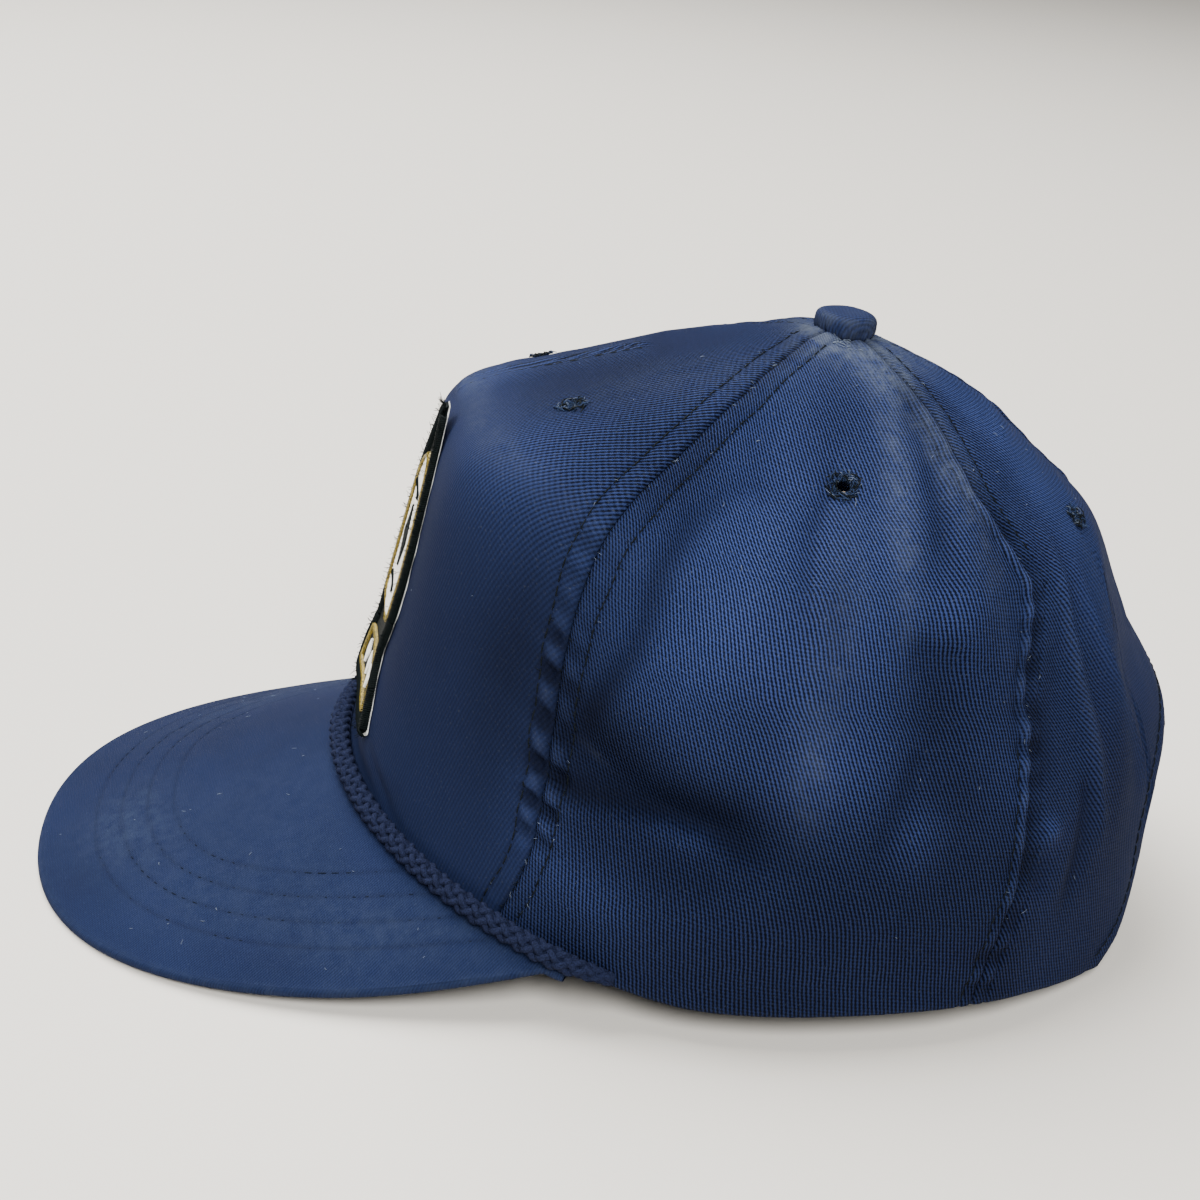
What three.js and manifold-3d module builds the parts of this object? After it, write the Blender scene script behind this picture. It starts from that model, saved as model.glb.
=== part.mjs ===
// A five-panel cap with a curved brim, a rope on the brim seam, an embroidered patch and an
// adjusting strap across the arch opening at the back. It rests on its brim and on the strap.
// Millimetres, +Z up. The brim points along -Y and the wearer's left is +X.
import * as THREE from 'three';
import { mergeVertices } from 'three/addons/utils/BufferGeometryUtils.js';
import Module from 'manifold-3d';

const wasm = await Module();
wasm.setup();

// Driving dimensions

const CLOTH = 2.0;               // a panel with its backing and seam tape
const GAP = 0.3;                 // between sewn pieces

// The crown's plan at its rim and at its shoulder, where the walls turn into the top
const RIM_OVAL = { front: -106.5, back: 87.5, half: 85, power: 2.05 };
const SHOULDER_OVAL = { front: -86.5, back: 82.5, half: 79, power: 2.2 };
const SHOULDER_HEIGHT = { front: 113, side: 129.5, back: 119.5 };
const SQUARENESS = { front: 14, side: 1.75, back: 2.2 };   // 2 is round, more is a sharper corner
const STIFF_FRONT = { full: 16, gone: 62 };   // degrees from the middle
const TOP_HEIGHT = 131;
const RISE = 165;                // of cloth from rim to top, about
const TOP_SWELL = 2.4;           // the top of the front panel is slightly arched
const PANEL_TOP = 0.965;         // the fraction of the way up where the panels end, under the button
const LEAN = 15;                 // degrees, of the front wall
const RIM_RISE = { side: 8, back: 1.6 };   // the rim is off the table, most at the sides
const BACK_FLARE = { out: 6, at: 0.3, spread: 0.15 };   // the cloth above the arch stands out

// Seams from the rim up, as azimuth in degrees at the rim and its change up to the top
const FRONT_SEAM = { foot: 43, lean: -2.4, curve: -4.3 };
const BACK_SEAM = { foot: 109, lean: 36, curve: -13.4 };

// The brim, as a flat pattern that is bent across and tilted down
const BRIM = {
  length: 74.7,                  // at the middle, from the seam
  tipAcross: 84.5, tipAlong: -52,
  roundFront: 64.5, roundSide: 73, // lengths of the outline's handles
  sideTurn: -6,                  // degrees
  bendRadius: 126,               // across, at the seam
  flatter: 0.54,                 // how much flatter it is 70 mm out from the seam
  softer: -0.07,                 // the bend eases off towards the sides
  tilt: 18.7,                    // degrees below level
  thickness: 2.6,
  reach: 54,                     // degrees round the crown on each side
  tipFrom: 49,                   // degrees, where it starts to narrow
  tipWidth: 1.2,                 // what is left of it at its tips
};
const ROPE_RADIUS = 2.25;
const ROPE_REACH = 55;           // degrees
const ROPE_UP = 0.018;           // how far up the wall its middle is, as a fraction
const BUTTON = { radius: 7.4, height: 5.6, edge: 1.6, tilt: 4 };
const EYELET_RADIUS = 2.0;
const PATCH = { halfWidth: 19, foot: 4, low: 0.075, high: 0.475, thickness: 2.2 };
const ARCH = { footHalf: 58, footHeight: 4, waistHalf: 44, waistHeight: 22, top: 55, shoulder: 14 };
const STRAP = {
  height: 20,
  thickness: 1.6,
  corner: { x: 44, y: 64 },      // where it leaves the panels
  bow: 68,                       // how far back its middle is
  hidden: [122, 127, 132],       // degrees, where it lies inside the back panels
  touches: 0.13,                 // as a fraction of the way up the wall
  sag: 3.2,                      // from the rim's corners to its middle, which rests on the table
  flatHalf: 14,
};

// Eyelets on the wearer's left, by azimuth and by fraction of the way from rim to top
const EYELETS = [
  { panel: 'front', azimuth: 17, up: 0.62 },
  { panel: 'side', azimuth: 81, up: 0.708 },
  { panel: 'back', azimuth: 152, up: 0.608 },
];

// Dents and folds: where, half length and half width in mm, the long way's slope in degrees,
// and depth in mm, negative where the cloth stands out. Positive azimuth is the wearer's left.
const FOLDS = [
  { name: 'crease low on the left side', azimuth: 61, up: 0.235, long: 24, wide: 8, slope: -8, depth: 5.0 },
  { name: 'crease at the front seam', azimuth: 48, up: 0.275, long: 12, wide: 5, slope: -12, depth: 2.4 },
  { name: 'swelling below the crease', azimuth: 66, up: 0.115, long: 26, wide: 9, slope: 0, depth: -2.6 },
  { name: 'lip above the crease', azimuth: 64, up: 0.325, long: 22, wide: 7, slope: -14, depth: -2.0 },
  { name: 'ridge below the left eyelet', azimuth: 77, up: 0.5, long: 30, wide: 6, slope: 82, depth: -2.2 },
  { name: 'hollow behind that ridge', azimuth: 90, up: 0.45, long: 30, wide: 8, slope: 84, depth: 2.6 },
  { name: 'fold beside the back seam', azimuth: 111, up: 0.53, long: 24, wide: 6, slope: 80, depth: -2.0 },
  { name: 'slack behind the back seam', azimuth: 131, up: 0.42, long: 22, wide: 8, slope: 80, depth: 2.4 },
  { name: 'fold on the left back panel', azimuth: 146, up: 0.44, long: 26, wide: 6, slope: 70, depth: -1.8 },
  { name: 'crease low on the right side', azimuth: -68, up: 0.24, long: 22, wide: 9, slope: 8, depth: 3.2 },
  { name: 'ridge below the right eyelet', azimuth: -82, up: 0.5, long: 28, wide: 7, slope: -84, depth: -1.8 },
  { name: 'hollow on the right side', azimuth: -97, up: 0.42, long: 26, wide: 9, slope: -84, depth: 2.2 },
  { name: 'fold on the right back panel', azimuth: -140, up: 0.43, long: 24, wide: 7, slope: -76, depth: -1.8 },
];

const COLOURS = { twill: 0x2a3c66, brim: 0x31466f, rope: 0x363d63, patch: 0x1d2a2b, strap: 0x26324f };

// Small helpers

const rad = (degrees) => degrees * Math.PI / 180;
const deg = (radians) => radians * 180 / Math.PI;
const lerp = (a, b, k) => a + (b - a) * k;
const ease = (x) => {
  const k = Math.min(1, Math.max(0, x));
  return k * k * (3 - 2 * k);
};

// Distance from the Z axis to an oval along an azimuth; 0 is the front, 90 degrees is +X
function ovalRadius(azimuth, oval) {
  const middle = (oval.front + oval.back) / 2;
  const halfLength = (oval.back - oval.front) / 2;
  let near = 0;
  let far = 300;
  for (let step = 0; step < 40; step += 1) {
    const r = (near + far) / 2;
    const across = Math.abs(r * Math.sin(azimuth) / oval.half) ** oval.power;
    const along = Math.abs((-r * Math.cos(azimuth) - middle) / halfLength) ** oval.power;
    if (across + along < 1) near = r;
    else far = r;
  }
  return near;
}

// Side and back values blended round the crown; the side value holds in front
const blendBack = (azimuth, value) => lerp(value.side, value.back, Math.min(0, Math.cos(azimuth)) ** 2);

// The brim's surface

function brimDrop(x, out) {
  const bend = (1 - BRIM.flatter * out / 70) / BRIM.bendRadius;
  return 0.5 * bend * x * x * (1 + BRIM.softer * (x / 80) ** 2);
}

// The height of its middle surface over a plan position, from the middle of the seam
function brimShape(x, y) {
  const cos = Math.cos(rad(BRIM.tilt));
  const sin = Math.sin(rad(BRIM.tilt));
  const firstOut = (RIM_OVAL.front - y) / cos;
  const drop = brimDrop(x, firstOut);
  const out = (RIM_OVAL.front + drop * sin - y) / cos;
  return -out * sin - drop * cos;
}

function brimNormal(x, y) {
  const step = 0.5;
  const slopeX = (brimShape(x + step, y) - brimShape(x - step, y)) / (2 * step);
  const slopeY = (brimShape(x, y + step) - brimShape(x, y - step)) / (2 * step);
  return new THREE.Vector3(-slopeX, -slopeY, 1).normalize();
}

// From the middle surface up to the top face, straight up
const halfThickness = (x, y) => BRIM.thickness / 2 / brimNormal(x, y).z;

// Plan position of a point of the flat pattern: across from the middle, out from the seam
function bentPlan(across, out) {
  const bend = (1 - BRIM.flatter * out / 70) / BRIM.bendRadius;
  const x = across * (1 - (bend * across) ** 2 / 6);
  const drop = brimDrop(x, out);
  const y = RIM_OVAL.front - out * Math.cos(rad(BRIM.tilt)) + drop * Math.sin(rad(BRIM.tilt));
  return new THREE.Vector2(x, y);
}

// The brim's outline from the middle of its front to the tip on the wearer's left
const turn = rad(BRIM.sideTurn);
const brimOutline = new THREE.CubicBezierCurve(
  new THREE.Vector2(0, BRIM.length),
  new THREE.Vector2(BRIM.roundFront, BRIM.length),
  new THREE.Vector2(
    BRIM.tipAcross + BRIM.roundSide * Math.sin(turn),
    BRIM.tipAlong + BRIM.roundSide * Math.cos(turn),
  ),
  new THREE.Vector2(BRIM.tipAcross, BRIM.tipAlong),
);

// The plan position of the brim's edge at k, 0 in the middle to 1 or -1 at the tips. Near the
// tips the edge runs under the rope and then narrows into the seam.
function brimEdge(k) {
  const flat = brimOutline.getPoint(Math.abs(k));
  const edge = bentPlan(Math.sign(k || 1) * flat.x, flat.y);
  const azimuth = Math.atan2(edge.x, -edge.y);
  const narrowed = ease((Math.abs(deg(azimuth)) - BRIM.tipFrom) / (BRIM.reach - BRIM.tipFrom));
  const border = GAP + lerp(ROPE_RADIUS, BRIM.tipWidth, narrowed);
  const least = ovalRadius(azimuth, RIM_OVAL) + border;
  return edge.setLength(Math.max(edge.length(), least));
}

// How high the middle of the seam is when the brim's lowest edge is on the table
function seatedHeight() {
  let lowest = Infinity;
  for (let k = 0; k <= 1; k += 0.01) {
    const { x, y } = brimEdge(k);
    lowest = Math.min(lowest, brimShape(x, y) - halfThickness(x, y));
  }
  return -lowest;
}
const SEAM_HEIGHT = seatedHeight();
const brimHeight = (x, y) => SEAM_HEIGHT + brimShape(x, y);

// The crown's surface

function rimHeight(azimuth) {
  const away = Math.abs(deg(azimuth));
  const r = ovalRadius(azimuth, RIM_OVAL);
  const onBrim = brimHeight(r * Math.sin(azimuth), -r * Math.cos(azimuth));
  const free = lerp(RIM_RISE.back, RIM_RISE.side, ease((155 - away) / 60));
  return lerp(onBrim, free, ease((away - BRIM.reach - 2) / 28));
}

// The line from rim to top at one azimuth, sampled with its length: first as soft cloth hangs,
// and then as the stiff front stands
const meridians = new Map();
function meridian(azimuth, stiff) {
  const key = `${stiff} ${azimuth.toFixed(5)}`;
  if (meridians.has(key)) return meridians.get(key);
  const rimR = ovalRadius(azimuth, RIM_OVAL);
  const rimZ = rimHeight(azimuth);
  const shoulderR = ovalRadius(azimuth, SHOULDER_OVAL);
  const shoulderZ = stiff ? SHOULDER_HEIGHT.front : blendBack(azimuth, SHOULDER_HEIGHT);
  const power = 2 / (stiff ? SQUARENESS.front : blendBack(azimuth, SQUARENESS));
  const samples = [];
  const count = 240;
  for (let i = 0; i <= count; i += 1) {
    const turned = (1 + Math.cos(Math.PI * i / count)) / 2 * Math.PI / 2;
    const out = Math.sin(turned) ** power;
    const down = 1 - Math.cos(turned) ** power;
    const r = shoulderR * out + (rimR - shoulderR) * down;
    const z = TOP_HEIGHT + (shoulderZ - TOP_HEIGHT) * out + (rimZ - shoulderZ) * down;
    const last = samples[i - 1];
    samples.push({ r, z, length: last ? last.length + Math.hypot(r - last.r, z - last.z) : 0 });
  }
  meridians.set(key, samples);
  return samples;
}

function onMeridian(azimuth, up, stiff) {
  const samples = meridian(azimuth, stiff);
  const target = up * samples[samples.length - 1].length;
  let i = 1;
  while (i < samples.length - 1 && samples[i].length < target) i += 1;
  const a = samples[i - 1];
  const b = samples[i];
  const k = b.length > a.length ? (target - a.length) / (b.length - a.length) : 0;
  return { r: lerp(a.r, b.r, k), z: lerp(a.z, b.z, k) };
}

// Radius and height on the crown before folds, `up` being 0 at the rim and 1 at the top
function crownProfile(azimuth, up) {
  const soft = onMeridian(azimuth, up, false);
  const stiff = onMeridian(azimuth, up, true);
  const away = Math.abs(deg(azimuth));
  const stiffness = ease((STIFF_FRONT.gone - away) / (STIFF_FRONT.gone - STIFF_FRONT.full));
  return { r: lerp(soft.r, stiff.r, stiffness), z: lerp(soft.z, stiff.z, stiffness) };
}

// How far the folds push the cloth in at a place on the crown
function foldDepth(azimuth, up) {
  const { r } = crownProfile(azimuth, up);
  let depth = 0;
  for (const fold of FOLDS) {
    const across = (azimuth - rad(fold.azimuth)) * r;
    const along = (up - fold.up) * RISE;
    const slope = rad(fold.slope);
    const a = (across * Math.cos(slope) + along * Math.sin(slope)) / fold.long;
    const b = (-across * Math.sin(slope) + along * Math.cos(slope)) / fold.wide;
    depth += fold.depth * Math.exp(-(a * a) - (b * b));
  }
  return depth;
}

function smoothCrown(azimuth, up) {
  const { r, z } = crownProfile(azimuth, up);
  const behind = Math.max(0, -Math.cos(azimuth)) ** 4;
  const flare = BACK_FLARE.out * behind * Math.exp(-(((up - BACK_FLARE.at) / BACK_FLARE.spread) ** 2));
  const outward = Math.min(1, r / ovalRadius(azimuth, SHOULDER_OVAL));
  const swell = TOP_SWELL * 4 * outward * (1 - outward) * ease((80 - Math.abs(deg(azimuth))) / 60);
  return new THREE.Vector3((r + flare) * Math.sin(azimuth), -(r + flare) * Math.cos(azimuth), z + swell);
}

function crownNormal(azimuth, up) {
  const stepRound = rad(1);
  const stepUp = 0.008;
  const round = smoothCrown(azimuth + stepRound, up).sub(smoothCrown(azimuth - stepRound, up));
  const low = Math.max(0, up - stepUp);
  const rise = smoothCrown(azimuth, up + stepUp).sub(smoothCrown(azimuth, low));
  return round.cross(rise).normalize();
}

// A point of the crown, `deep` mm inside its outer face
function crownPoint(azimuth, up, deep) {
  const inward = deep + foldDepth(azimuth, up);
  return smoothCrown(azimuth, up).addScaledVector(crownNormal(azimuth, up), -inward);
}

const seamAzimuth = (seam, up) => rad(seam.foot + seam.lean * up + seam.curve * up * up);

// Closed bodies

// A body between an outer and an inner grid of points, each called with (column, row) in 0 to 1
function slab(columns, rows, outer, inner) {
  const positions = [];
  const index = [];
  for (const face of [outer, inner]) {
    for (let i = 0; i <= columns; i += 1) {
      for (let j = 0; j <= rows; j += 1) positions.push(...face(i / columns, j / rows).toArray());
    }
  }
  const inside = (columns + 1) * (rows + 1);
  const at = (i, j, side) => side * inside + i * (rows + 1) + j;
  const quad = (a, b, c, d) => index.push(a, b, c, a, c, d);
  for (let i = 0; i < columns; i += 1) {
    for (let j = 0; j < rows; j += 1) {
      quad(at(i, j, 0), at(i + 1, j, 0), at(i + 1, j + 1, 0), at(i, j + 1, 0));
      quad(at(i, j, 1), at(i, j + 1, 1), at(i + 1, j + 1, 1), at(i + 1, j, 1));
    }
    quad(at(i, 0, 1), at(i + 1, 0, 1), at(i + 1, 0, 0), at(i, 0, 0));
    quad(at(i, rows, 0), at(i + 1, rows, 0), at(i + 1, rows, 1), at(i, rows, 1));
  }
  // Both ends split their squares the same way, so that neighbours' ends stay parallel
  for (let j = 0; j < rows; j += 1) {
    quad(at(0, j, 0), at(0, j + 1, 0), at(0, j + 1, 1), at(0, j, 1));
    quad(at(columns, j + 1, 1), at(columns, j + 1, 0), at(columns, j, 0), at(columns, j, 1));
  }
  const geometry = new THREE.BufferGeometry();
  geometry.setAttribute('position', new THREE.Float32BufferAttribute(positions, 3));
  geometry.setIndex(index);
  return geometry;
}

function toManifold(geometry) {
  const bare = geometry.clone();
  bare.deleteAttribute('normal');
  bare.deleteAttribute('uv');
  const merged = mergeVertices(bare, 1e-4);
  return new wasm.Manifold(new wasm.Mesh({
    numProp: 3,
    vertProperties: merged.attributes.position.array,
    triVerts: Uint32Array.from(merged.index.array),
  }));
}

function fromManifold(solid) {
  const mesh = solid.getMesh();
  const geometry = new THREE.BufferGeometry();
  geometry.setAttribute('position', new THREE.BufferAttribute(Float32Array.from(mesh.vertProperties), 3));
  geometry.setIndex(new THREE.BufferAttribute(Uint32Array.from(mesh.triVerts), 1));
  return geometry;
}

function cut(geometry, tools) {
  let solid = toManifold(geometry);
  for (const tool of tools) solid = solid.subtract(toManifold(tool));
  return fromManifold(solid);
}

// A panel between two seams; half the gap is taken from each of its sides
const PANEL_ROWS = 21;            // alike, so that neighbours meet row by row
function panel(columns, fromAzimuth, toAzimuth) {
  const point = (deep) => (i, j) => {
    const up = j * PANEL_TOP;
    const from = fromAzimuth(up);
    const to = toAzimuth(up);
    const radius = crownProfile(from, up).r;
    const trim = GAP / 2 / radius;
    return crownPoint(lerp(from + trim, to - trim, i), up, deep);
  };
  return slab(columns, PANEL_ROWS, point(0), point(CLOTH));
}

function eyeletDrill(azimuth, up) {
  const drill = new THREE.CylinderGeometry(EYELET_RADIUS, EYELET_RADIUS, 12, 14);
  const out = crownNormal(azimuth, up);
  const middle = crownPoint(azimuth, up, CLOTH / 2);
  const turned = new THREE.Quaternion().setFromUnitVectors(new THREE.Vector3(0, 1, 0), out);
  drill.applyQuaternion(turned);
  drill.translate(middle.x, middle.y, middle.z);
  return drill;
}

function drills(panelName, sides) {
  return EYELETS.filter((eyelet) => eyelet.panel === panelName)
    .flatMap((eyelet) => sides.map((side) => eyeletDrill(side * rad(eyelet.azimuth), eyelet.up)));
}

// The arch opening, as a prism through the back
function archCutter() {
  const { footHalf, footHeight, waistHalf, waistHeight, top, shoulder } = ARCH;
  const below = -20;
  const outline = new THREE.Shape();
  outline.moveTo(-footHalf, below);
  outline.lineTo(footHalf, below);
  outline.lineTo(footHalf, footHeight);
  outline.quadraticCurveTo(waistHalf, (footHeight + waistHeight) / 2, waistHalf, waistHeight);
  outline.bezierCurveTo(waistHalf, top - shoulder, waistHalf - shoulder, top, 0, top);
  outline.bezierCurveTo(shoulder - waistHalf, top, -waistHalf, top - shoulder, -waistHalf, waistHeight);
  outline.quadraticCurveTo(-waistHalf, (footHeight + waistHeight) / 2, -footHalf, footHeight);
  const prism = new THREE.ExtrudeGeometry(outline, { depth: 100, bevelEnabled: false, curveSegments: 8 });
  prism.rotateX(Math.PI / 2);
  prism.translate(0, 120, 0);
  return prism;
}

// The pieces

const frontPanel = () => cut(
  panel(22, (up) => -seamAzimuth(FRONT_SEAM, up), (up) => seamAzimuth(FRONT_SEAM, up)),
  drills('front', [-1, 1]),
);

function sidePanel(side) {
  const inner = (up) => side * seamAzimuth(FRONT_SEAM, up);
  const outer = (up) => side * seamAzimuth(BACK_SEAM, up);
  return cut(side > 0 ? panel(18, inner, outer) : panel(18, outer, inner), drills('side', [side]));
}

function backPanel(side) {
  const seam = (up) => side * seamAzimuth(BACK_SEAM, up);
  const middle = () => side * Math.PI;
  const cloth = side > 0 ? panel(12, seam, middle) : panel(12, middle, seam);
  return cut(cloth, [archCutter(), ...drills('back', [side])]);
}

// The brim meets the outside of the crown's wall, level with its rim
function brim() {
  const point = (face) => (i, j) => {
    const k = 2 * i - 1;
    const azimuth = k * rad(BRIM.reach);
    const rim = ovalRadius(azimuth, RIM_OVAL) + GAP;
    const inner = new THREE.Vector2(rim * Math.sin(azimuth), -rim * Math.cos(azimuth));
    const { x, y } = inner.lerp(brimEdge(k), j);
    return new THREE.Vector3(x, y, brimHeight(x, y) + face * halfThickness(x, y));
  };
  return slab(44, 8, point(-1), point(1));
}

function rope() {
  const reach = rad(ROPE_REACH);
  const clear = ROPE_RADIUS + GAP;
  const places = [];
  for (let i = 0; i <= 40; i += 1) {
    const azimuth = lerp(-reach, reach, i / 40);
    const r = crownProfile(azimuth, ROPE_UP).r + clear / Math.cos(rad(LEAN));
    const x = r * Math.sin(azimuth);
    const y = -r * Math.cos(azimuth);
    const lift = (BRIM.thickness / 2 + clear) / brimNormal(x, y).z;
    places.push(new THREE.Vector3(x, y, brimHeight(x, y) + lift));
  }
  const route = new THREE.CatmullRomCurve3(places);
  const section = new THREE.Shape().absarc(0, 0, ROPE_RADIUS, 0, 2 * Math.PI);
  const settings = { steps: 48, bevelEnabled: false, extrudePath: route, curveSegments: 4 };
  return new THREE.ExtrudeGeometry(section, settings);
}

// Turned from a domed profile and seated on the panels' top
function button() {
  const { radius, height, edge } = BUTTON;
  const profile = [
    new THREE.Vector2(0, 0),
    new THREE.Vector2(radius - 0.6, 0),
    new THREE.Vector2(radius, edge),
  ];
  const domeSteps = 5;
  for (let i = 1; i <= domeSteps; i += 1) {
    const turned = i / domeSteps * Math.PI / 2;
    const across = radius * Math.cos(turned) ** 0.7;
    profile.push(new THREE.Vector2(across, edge + (height - edge) * Math.sin(turned)));
  }
  profile[profile.length - 1].x = 0;
  return new THREE.LatheGeometry(profile, 20);
}

function patch() {
  const point = (lift) => (i, j) => {
    const up = lerp(PATCH.low, PATCH.high, j);
    const rounded = (1 - Math.max(0, 2 * j - 1.02) ** 4) ** 0.25;
    const half = PATCH.halfWidth * rounded + PATCH.foot * (1 - ease(j / 0.3));
    return crownPoint((2 * i - 1) * half / crownProfile(0, up).r, up, -lift);
  };
  return slab(8, 14, point(GAP + PATCH.thickness), point(GAP));
}

// The strap follows the inside of the back panels, then crosses the arch opening
function backStrap() {
  const inside = CLOTH + GAP + STRAP.thickness / 2;
  const places = [];
  for (const side of [1, -1]) {
    const half = [];
    for (const azimuth of STRAP.hidden) {
      const wall = crownPoint(side * rad(azimuth), STRAP.touches, inside);
      half.push(new THREE.Vector2(wall.x, wall.y));
    }
    half.push(new THREE.Vector2(side * STRAP.corner.x, STRAP.corner.y));
    half.push(new THREE.Vector2(side * STRAP.corner.x / 2, STRAP.bow - 1));
    places.push(...(side > 0 ? half : half.reverse()));
    if (side > 0) places.push(new THREE.Vector2(0, STRAP.bow));
  }
  const route = new THREE.SplineCurve(places);
  const point = (lift) => (i, j) => {
    const place = route.getPoint(i);
    const along = route.getTangent(i);
    const out = new THREE.Vector2(along.y, -along.x);
    const raised = STRAP.sag * ease((Math.abs(2 * i - 1) * route.getLength() / 2 - STRAP.flatHalf) / 40);
    return new THREE.Vector3(place.x + out.x * lift, place.y + out.y * lift, raised + j * STRAP.height);
  };
  return slab(40, 1, point(STRAP.thickness / 2), point(-STRAP.thickness / 2));
}

// Assembly

const cloth = (color, roughness = 0.9) => new THREE.MeshStandardMaterial({ color, roughness, metalness: 0 });

function named(name, geometry, material) {
  const mesh = new THREE.Mesh(geometry, material);
  mesh.name = name;
  return mesh;
}

const cap = new THREE.Group();
cap.add(
  named('front_panel', frontPanel(), cloth(COLOURS.twill)),
  named('side_panel_left', sidePanel(1), cloth(COLOURS.twill)),
  named('side_panel_right', sidePanel(-1), cloth(COLOURS.twill)),
  named('back_panel_left', backPanel(1), cloth(COLOURS.twill)),
  named('back_panel_right', backPanel(-1), cloth(COLOURS.twill)),
  named('brim', brim(), cloth(COLOURS.brim)),
  named('rope', rope(), cloth(COLOURS.rope)),
  named('patch', patch(), cloth(COLOURS.patch)),
  named('back_strap', backStrap(), cloth(COLOURS.strap)),
);

const topButton = named('button', button(), cloth(COLOURS.twill));
topButton.rotation.x = -rad(BUTTON.tilt);
topButton.rotation.order = 'ZYX';
topButton.position.set(0, 0, TOP_HEIGHT + GAP);
topButton.rotateX(Math.PI / 2);
cap.add(topButton);

// The origin is on the table, in the middle of the cap's length and width
const extent = new THREE.Box3().setFromObject(cap, true);
const middle = extent.getCenter(new THREE.Vector3());
cap.position.set(-middle.x, -middle.y, -extent.min.z);

export default cap;
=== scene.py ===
"""A navy rope cap: five twill panels with their folds and puckers, a stitched brim, a braided
rope, an embroidered patch, a covered button and a woven strap, on a plain pale floor.
Lengths are in millimetres and angles in degrees until a mesh is written, which is in metres."""
import math
import random

import bmesh
import bpy
import numpy as np
from mathutils import Matrix, Vector


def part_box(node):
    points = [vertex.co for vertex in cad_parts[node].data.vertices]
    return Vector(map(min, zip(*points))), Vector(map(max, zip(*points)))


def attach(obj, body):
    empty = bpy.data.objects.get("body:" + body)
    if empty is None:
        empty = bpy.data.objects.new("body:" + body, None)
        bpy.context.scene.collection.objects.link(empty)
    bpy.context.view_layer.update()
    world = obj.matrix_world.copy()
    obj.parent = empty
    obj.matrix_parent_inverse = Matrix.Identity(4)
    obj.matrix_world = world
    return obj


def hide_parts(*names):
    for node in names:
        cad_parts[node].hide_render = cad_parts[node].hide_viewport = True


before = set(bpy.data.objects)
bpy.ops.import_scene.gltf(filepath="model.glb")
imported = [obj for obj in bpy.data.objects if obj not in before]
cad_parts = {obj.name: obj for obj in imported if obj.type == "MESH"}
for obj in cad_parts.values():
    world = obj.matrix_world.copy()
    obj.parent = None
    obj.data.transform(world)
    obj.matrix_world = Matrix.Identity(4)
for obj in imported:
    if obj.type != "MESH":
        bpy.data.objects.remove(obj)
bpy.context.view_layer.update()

MM = 0.001
CLOTH = 2.0                      # a panel with its backing, from face to back
SEWN_GAP = 0.06                  # between the rolled edges of two sewn panels

# The crown's plan at its rim and at its shoulder, and the line of its wall
RIM_OVAL = {"front": -106.5, "back": 87.5, "half": 85.0, "power": 2.05}
SHOULDER_OVAL = {"front": -86.5, "back": 82.5, "half": 79.0, "power": 2.2}
SHOULDER_HEIGHT = {"front": 113.0, "side": 129.5, "back": 119.5}
SQUARENESS = {"front": 14.0, "side": 1.75, "back": 2.2}
STIFF_FRONT = {"full": 16.0, "gone": 62.0}
TOP_HEIGHT = 131.0
RISE = 165.0                     # of cloth from rim to top
# How much higher the front half of the top is: way out from the button to the shoulder, and millimetres
TOP_LIFT = [(0.0, 1.6), (0.08, 2.0), (0.15, 2.9), (0.25, 3.3), (0.36, 3.4), (0.47, 3.1), (0.58, 1.6),
            (0.69, 0.2), (0.8, -0.5), (0.9, -0.5), (0.97, 0.5), (1.0, 0.9)]
# The lift begins at `low` of the way up, and fades over `turning` degrees before `behind`
LIFTED = {"low": 0.35, "over": 0.15, "behind": 95, "turning": 60}
# All round the button the gathered seam ends hold the cloth up, within `out` of the way out
UNDER_BUTTON = {"up": 1.1, "out": 0.24, "over": 0.14}
# The stiff patch holds the front flat: how far out, over which millimetres across it grows and
# fades, and over which ways up
FRONT_HALF = 60                  # degrees, past which the patch has no say
PATCH_FLAT = {"out": 2.0, "full": 24.0, "gone": 54.0, "fade": 30.0, "foot": 0.08, "top": 0.56, "top_fade": 0.1}
# and has been pressed in: place across, half width, millimetres; and its middle and spread upwards
PATCH_PRESSED = [(0.0, 45.0, 1.0), (-6.0, 14.0, 0.9)]
PRESSED_UP = (0.27, 0.18)
# Fuller places of the back: azimuth, way up, half length, half width, slope, millimetres
BACK_FULL = [(168, 0.575, 44, 12, 0, 3.2), (164, 0.40, 36, 9, 0, -1.2), (164, 0.18, 36, 26, 0, 1.2),
             (156, 0.03, 12, 14, 0, -1.4), (140, 0.04, 18, 12, 0, 0.9)]
PANEL_TOP = 0.965                # of the way up, under the button
LEAN = 15.0                      # of the front wall
RIM_RISE = {"side": 8.0, "back": 1.6}
BACK_FLARE = {"out": 6.0, "at": 0.3, "spread": 0.15}
# The seams on the wearer's left, through pairs of way up and azimuth; the right side mirrors them
FRONT_SEAM_POINTS = [
    (0.0, 39.6), (0.034, 40.6), (0.079, 42.0), (0.127, 42.9), (0.172, 42.5), (0.216, 42.0),
    (0.266, 41.1), (0.32, 40.6), (0.361, 40.1), (0.415, 39.7), (0.5, 39.5), (0.6, 39.7),
    (0.65, 40.4), (0.7, 41.1), (0.78, 42.2), (0.88, 41.0), (1.0, 38.0),
]
BACK_SEAM_POINTS = [
    (0.0, 108.0), (0.049, 109.6), (0.097, 111.7), (0.148, 114.3), (0.2, 116.2), (0.261, 117.5), (0.294, 118.4),
    (0.333, 119.4), (0.379, 120.6), (0.413, 120.2), (0.457, 122.4), (0.488, 124.8), (0.525, 127.2),
    (0.56, 128.6), (0.597, 126.6), (0.638, 125.2), (0.689, 122.0), (0.75, 123.0), (0.805, 125.4),
    (0.861, 126.2), (0.91, 124.0), (1.0, 122.0),
]

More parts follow.
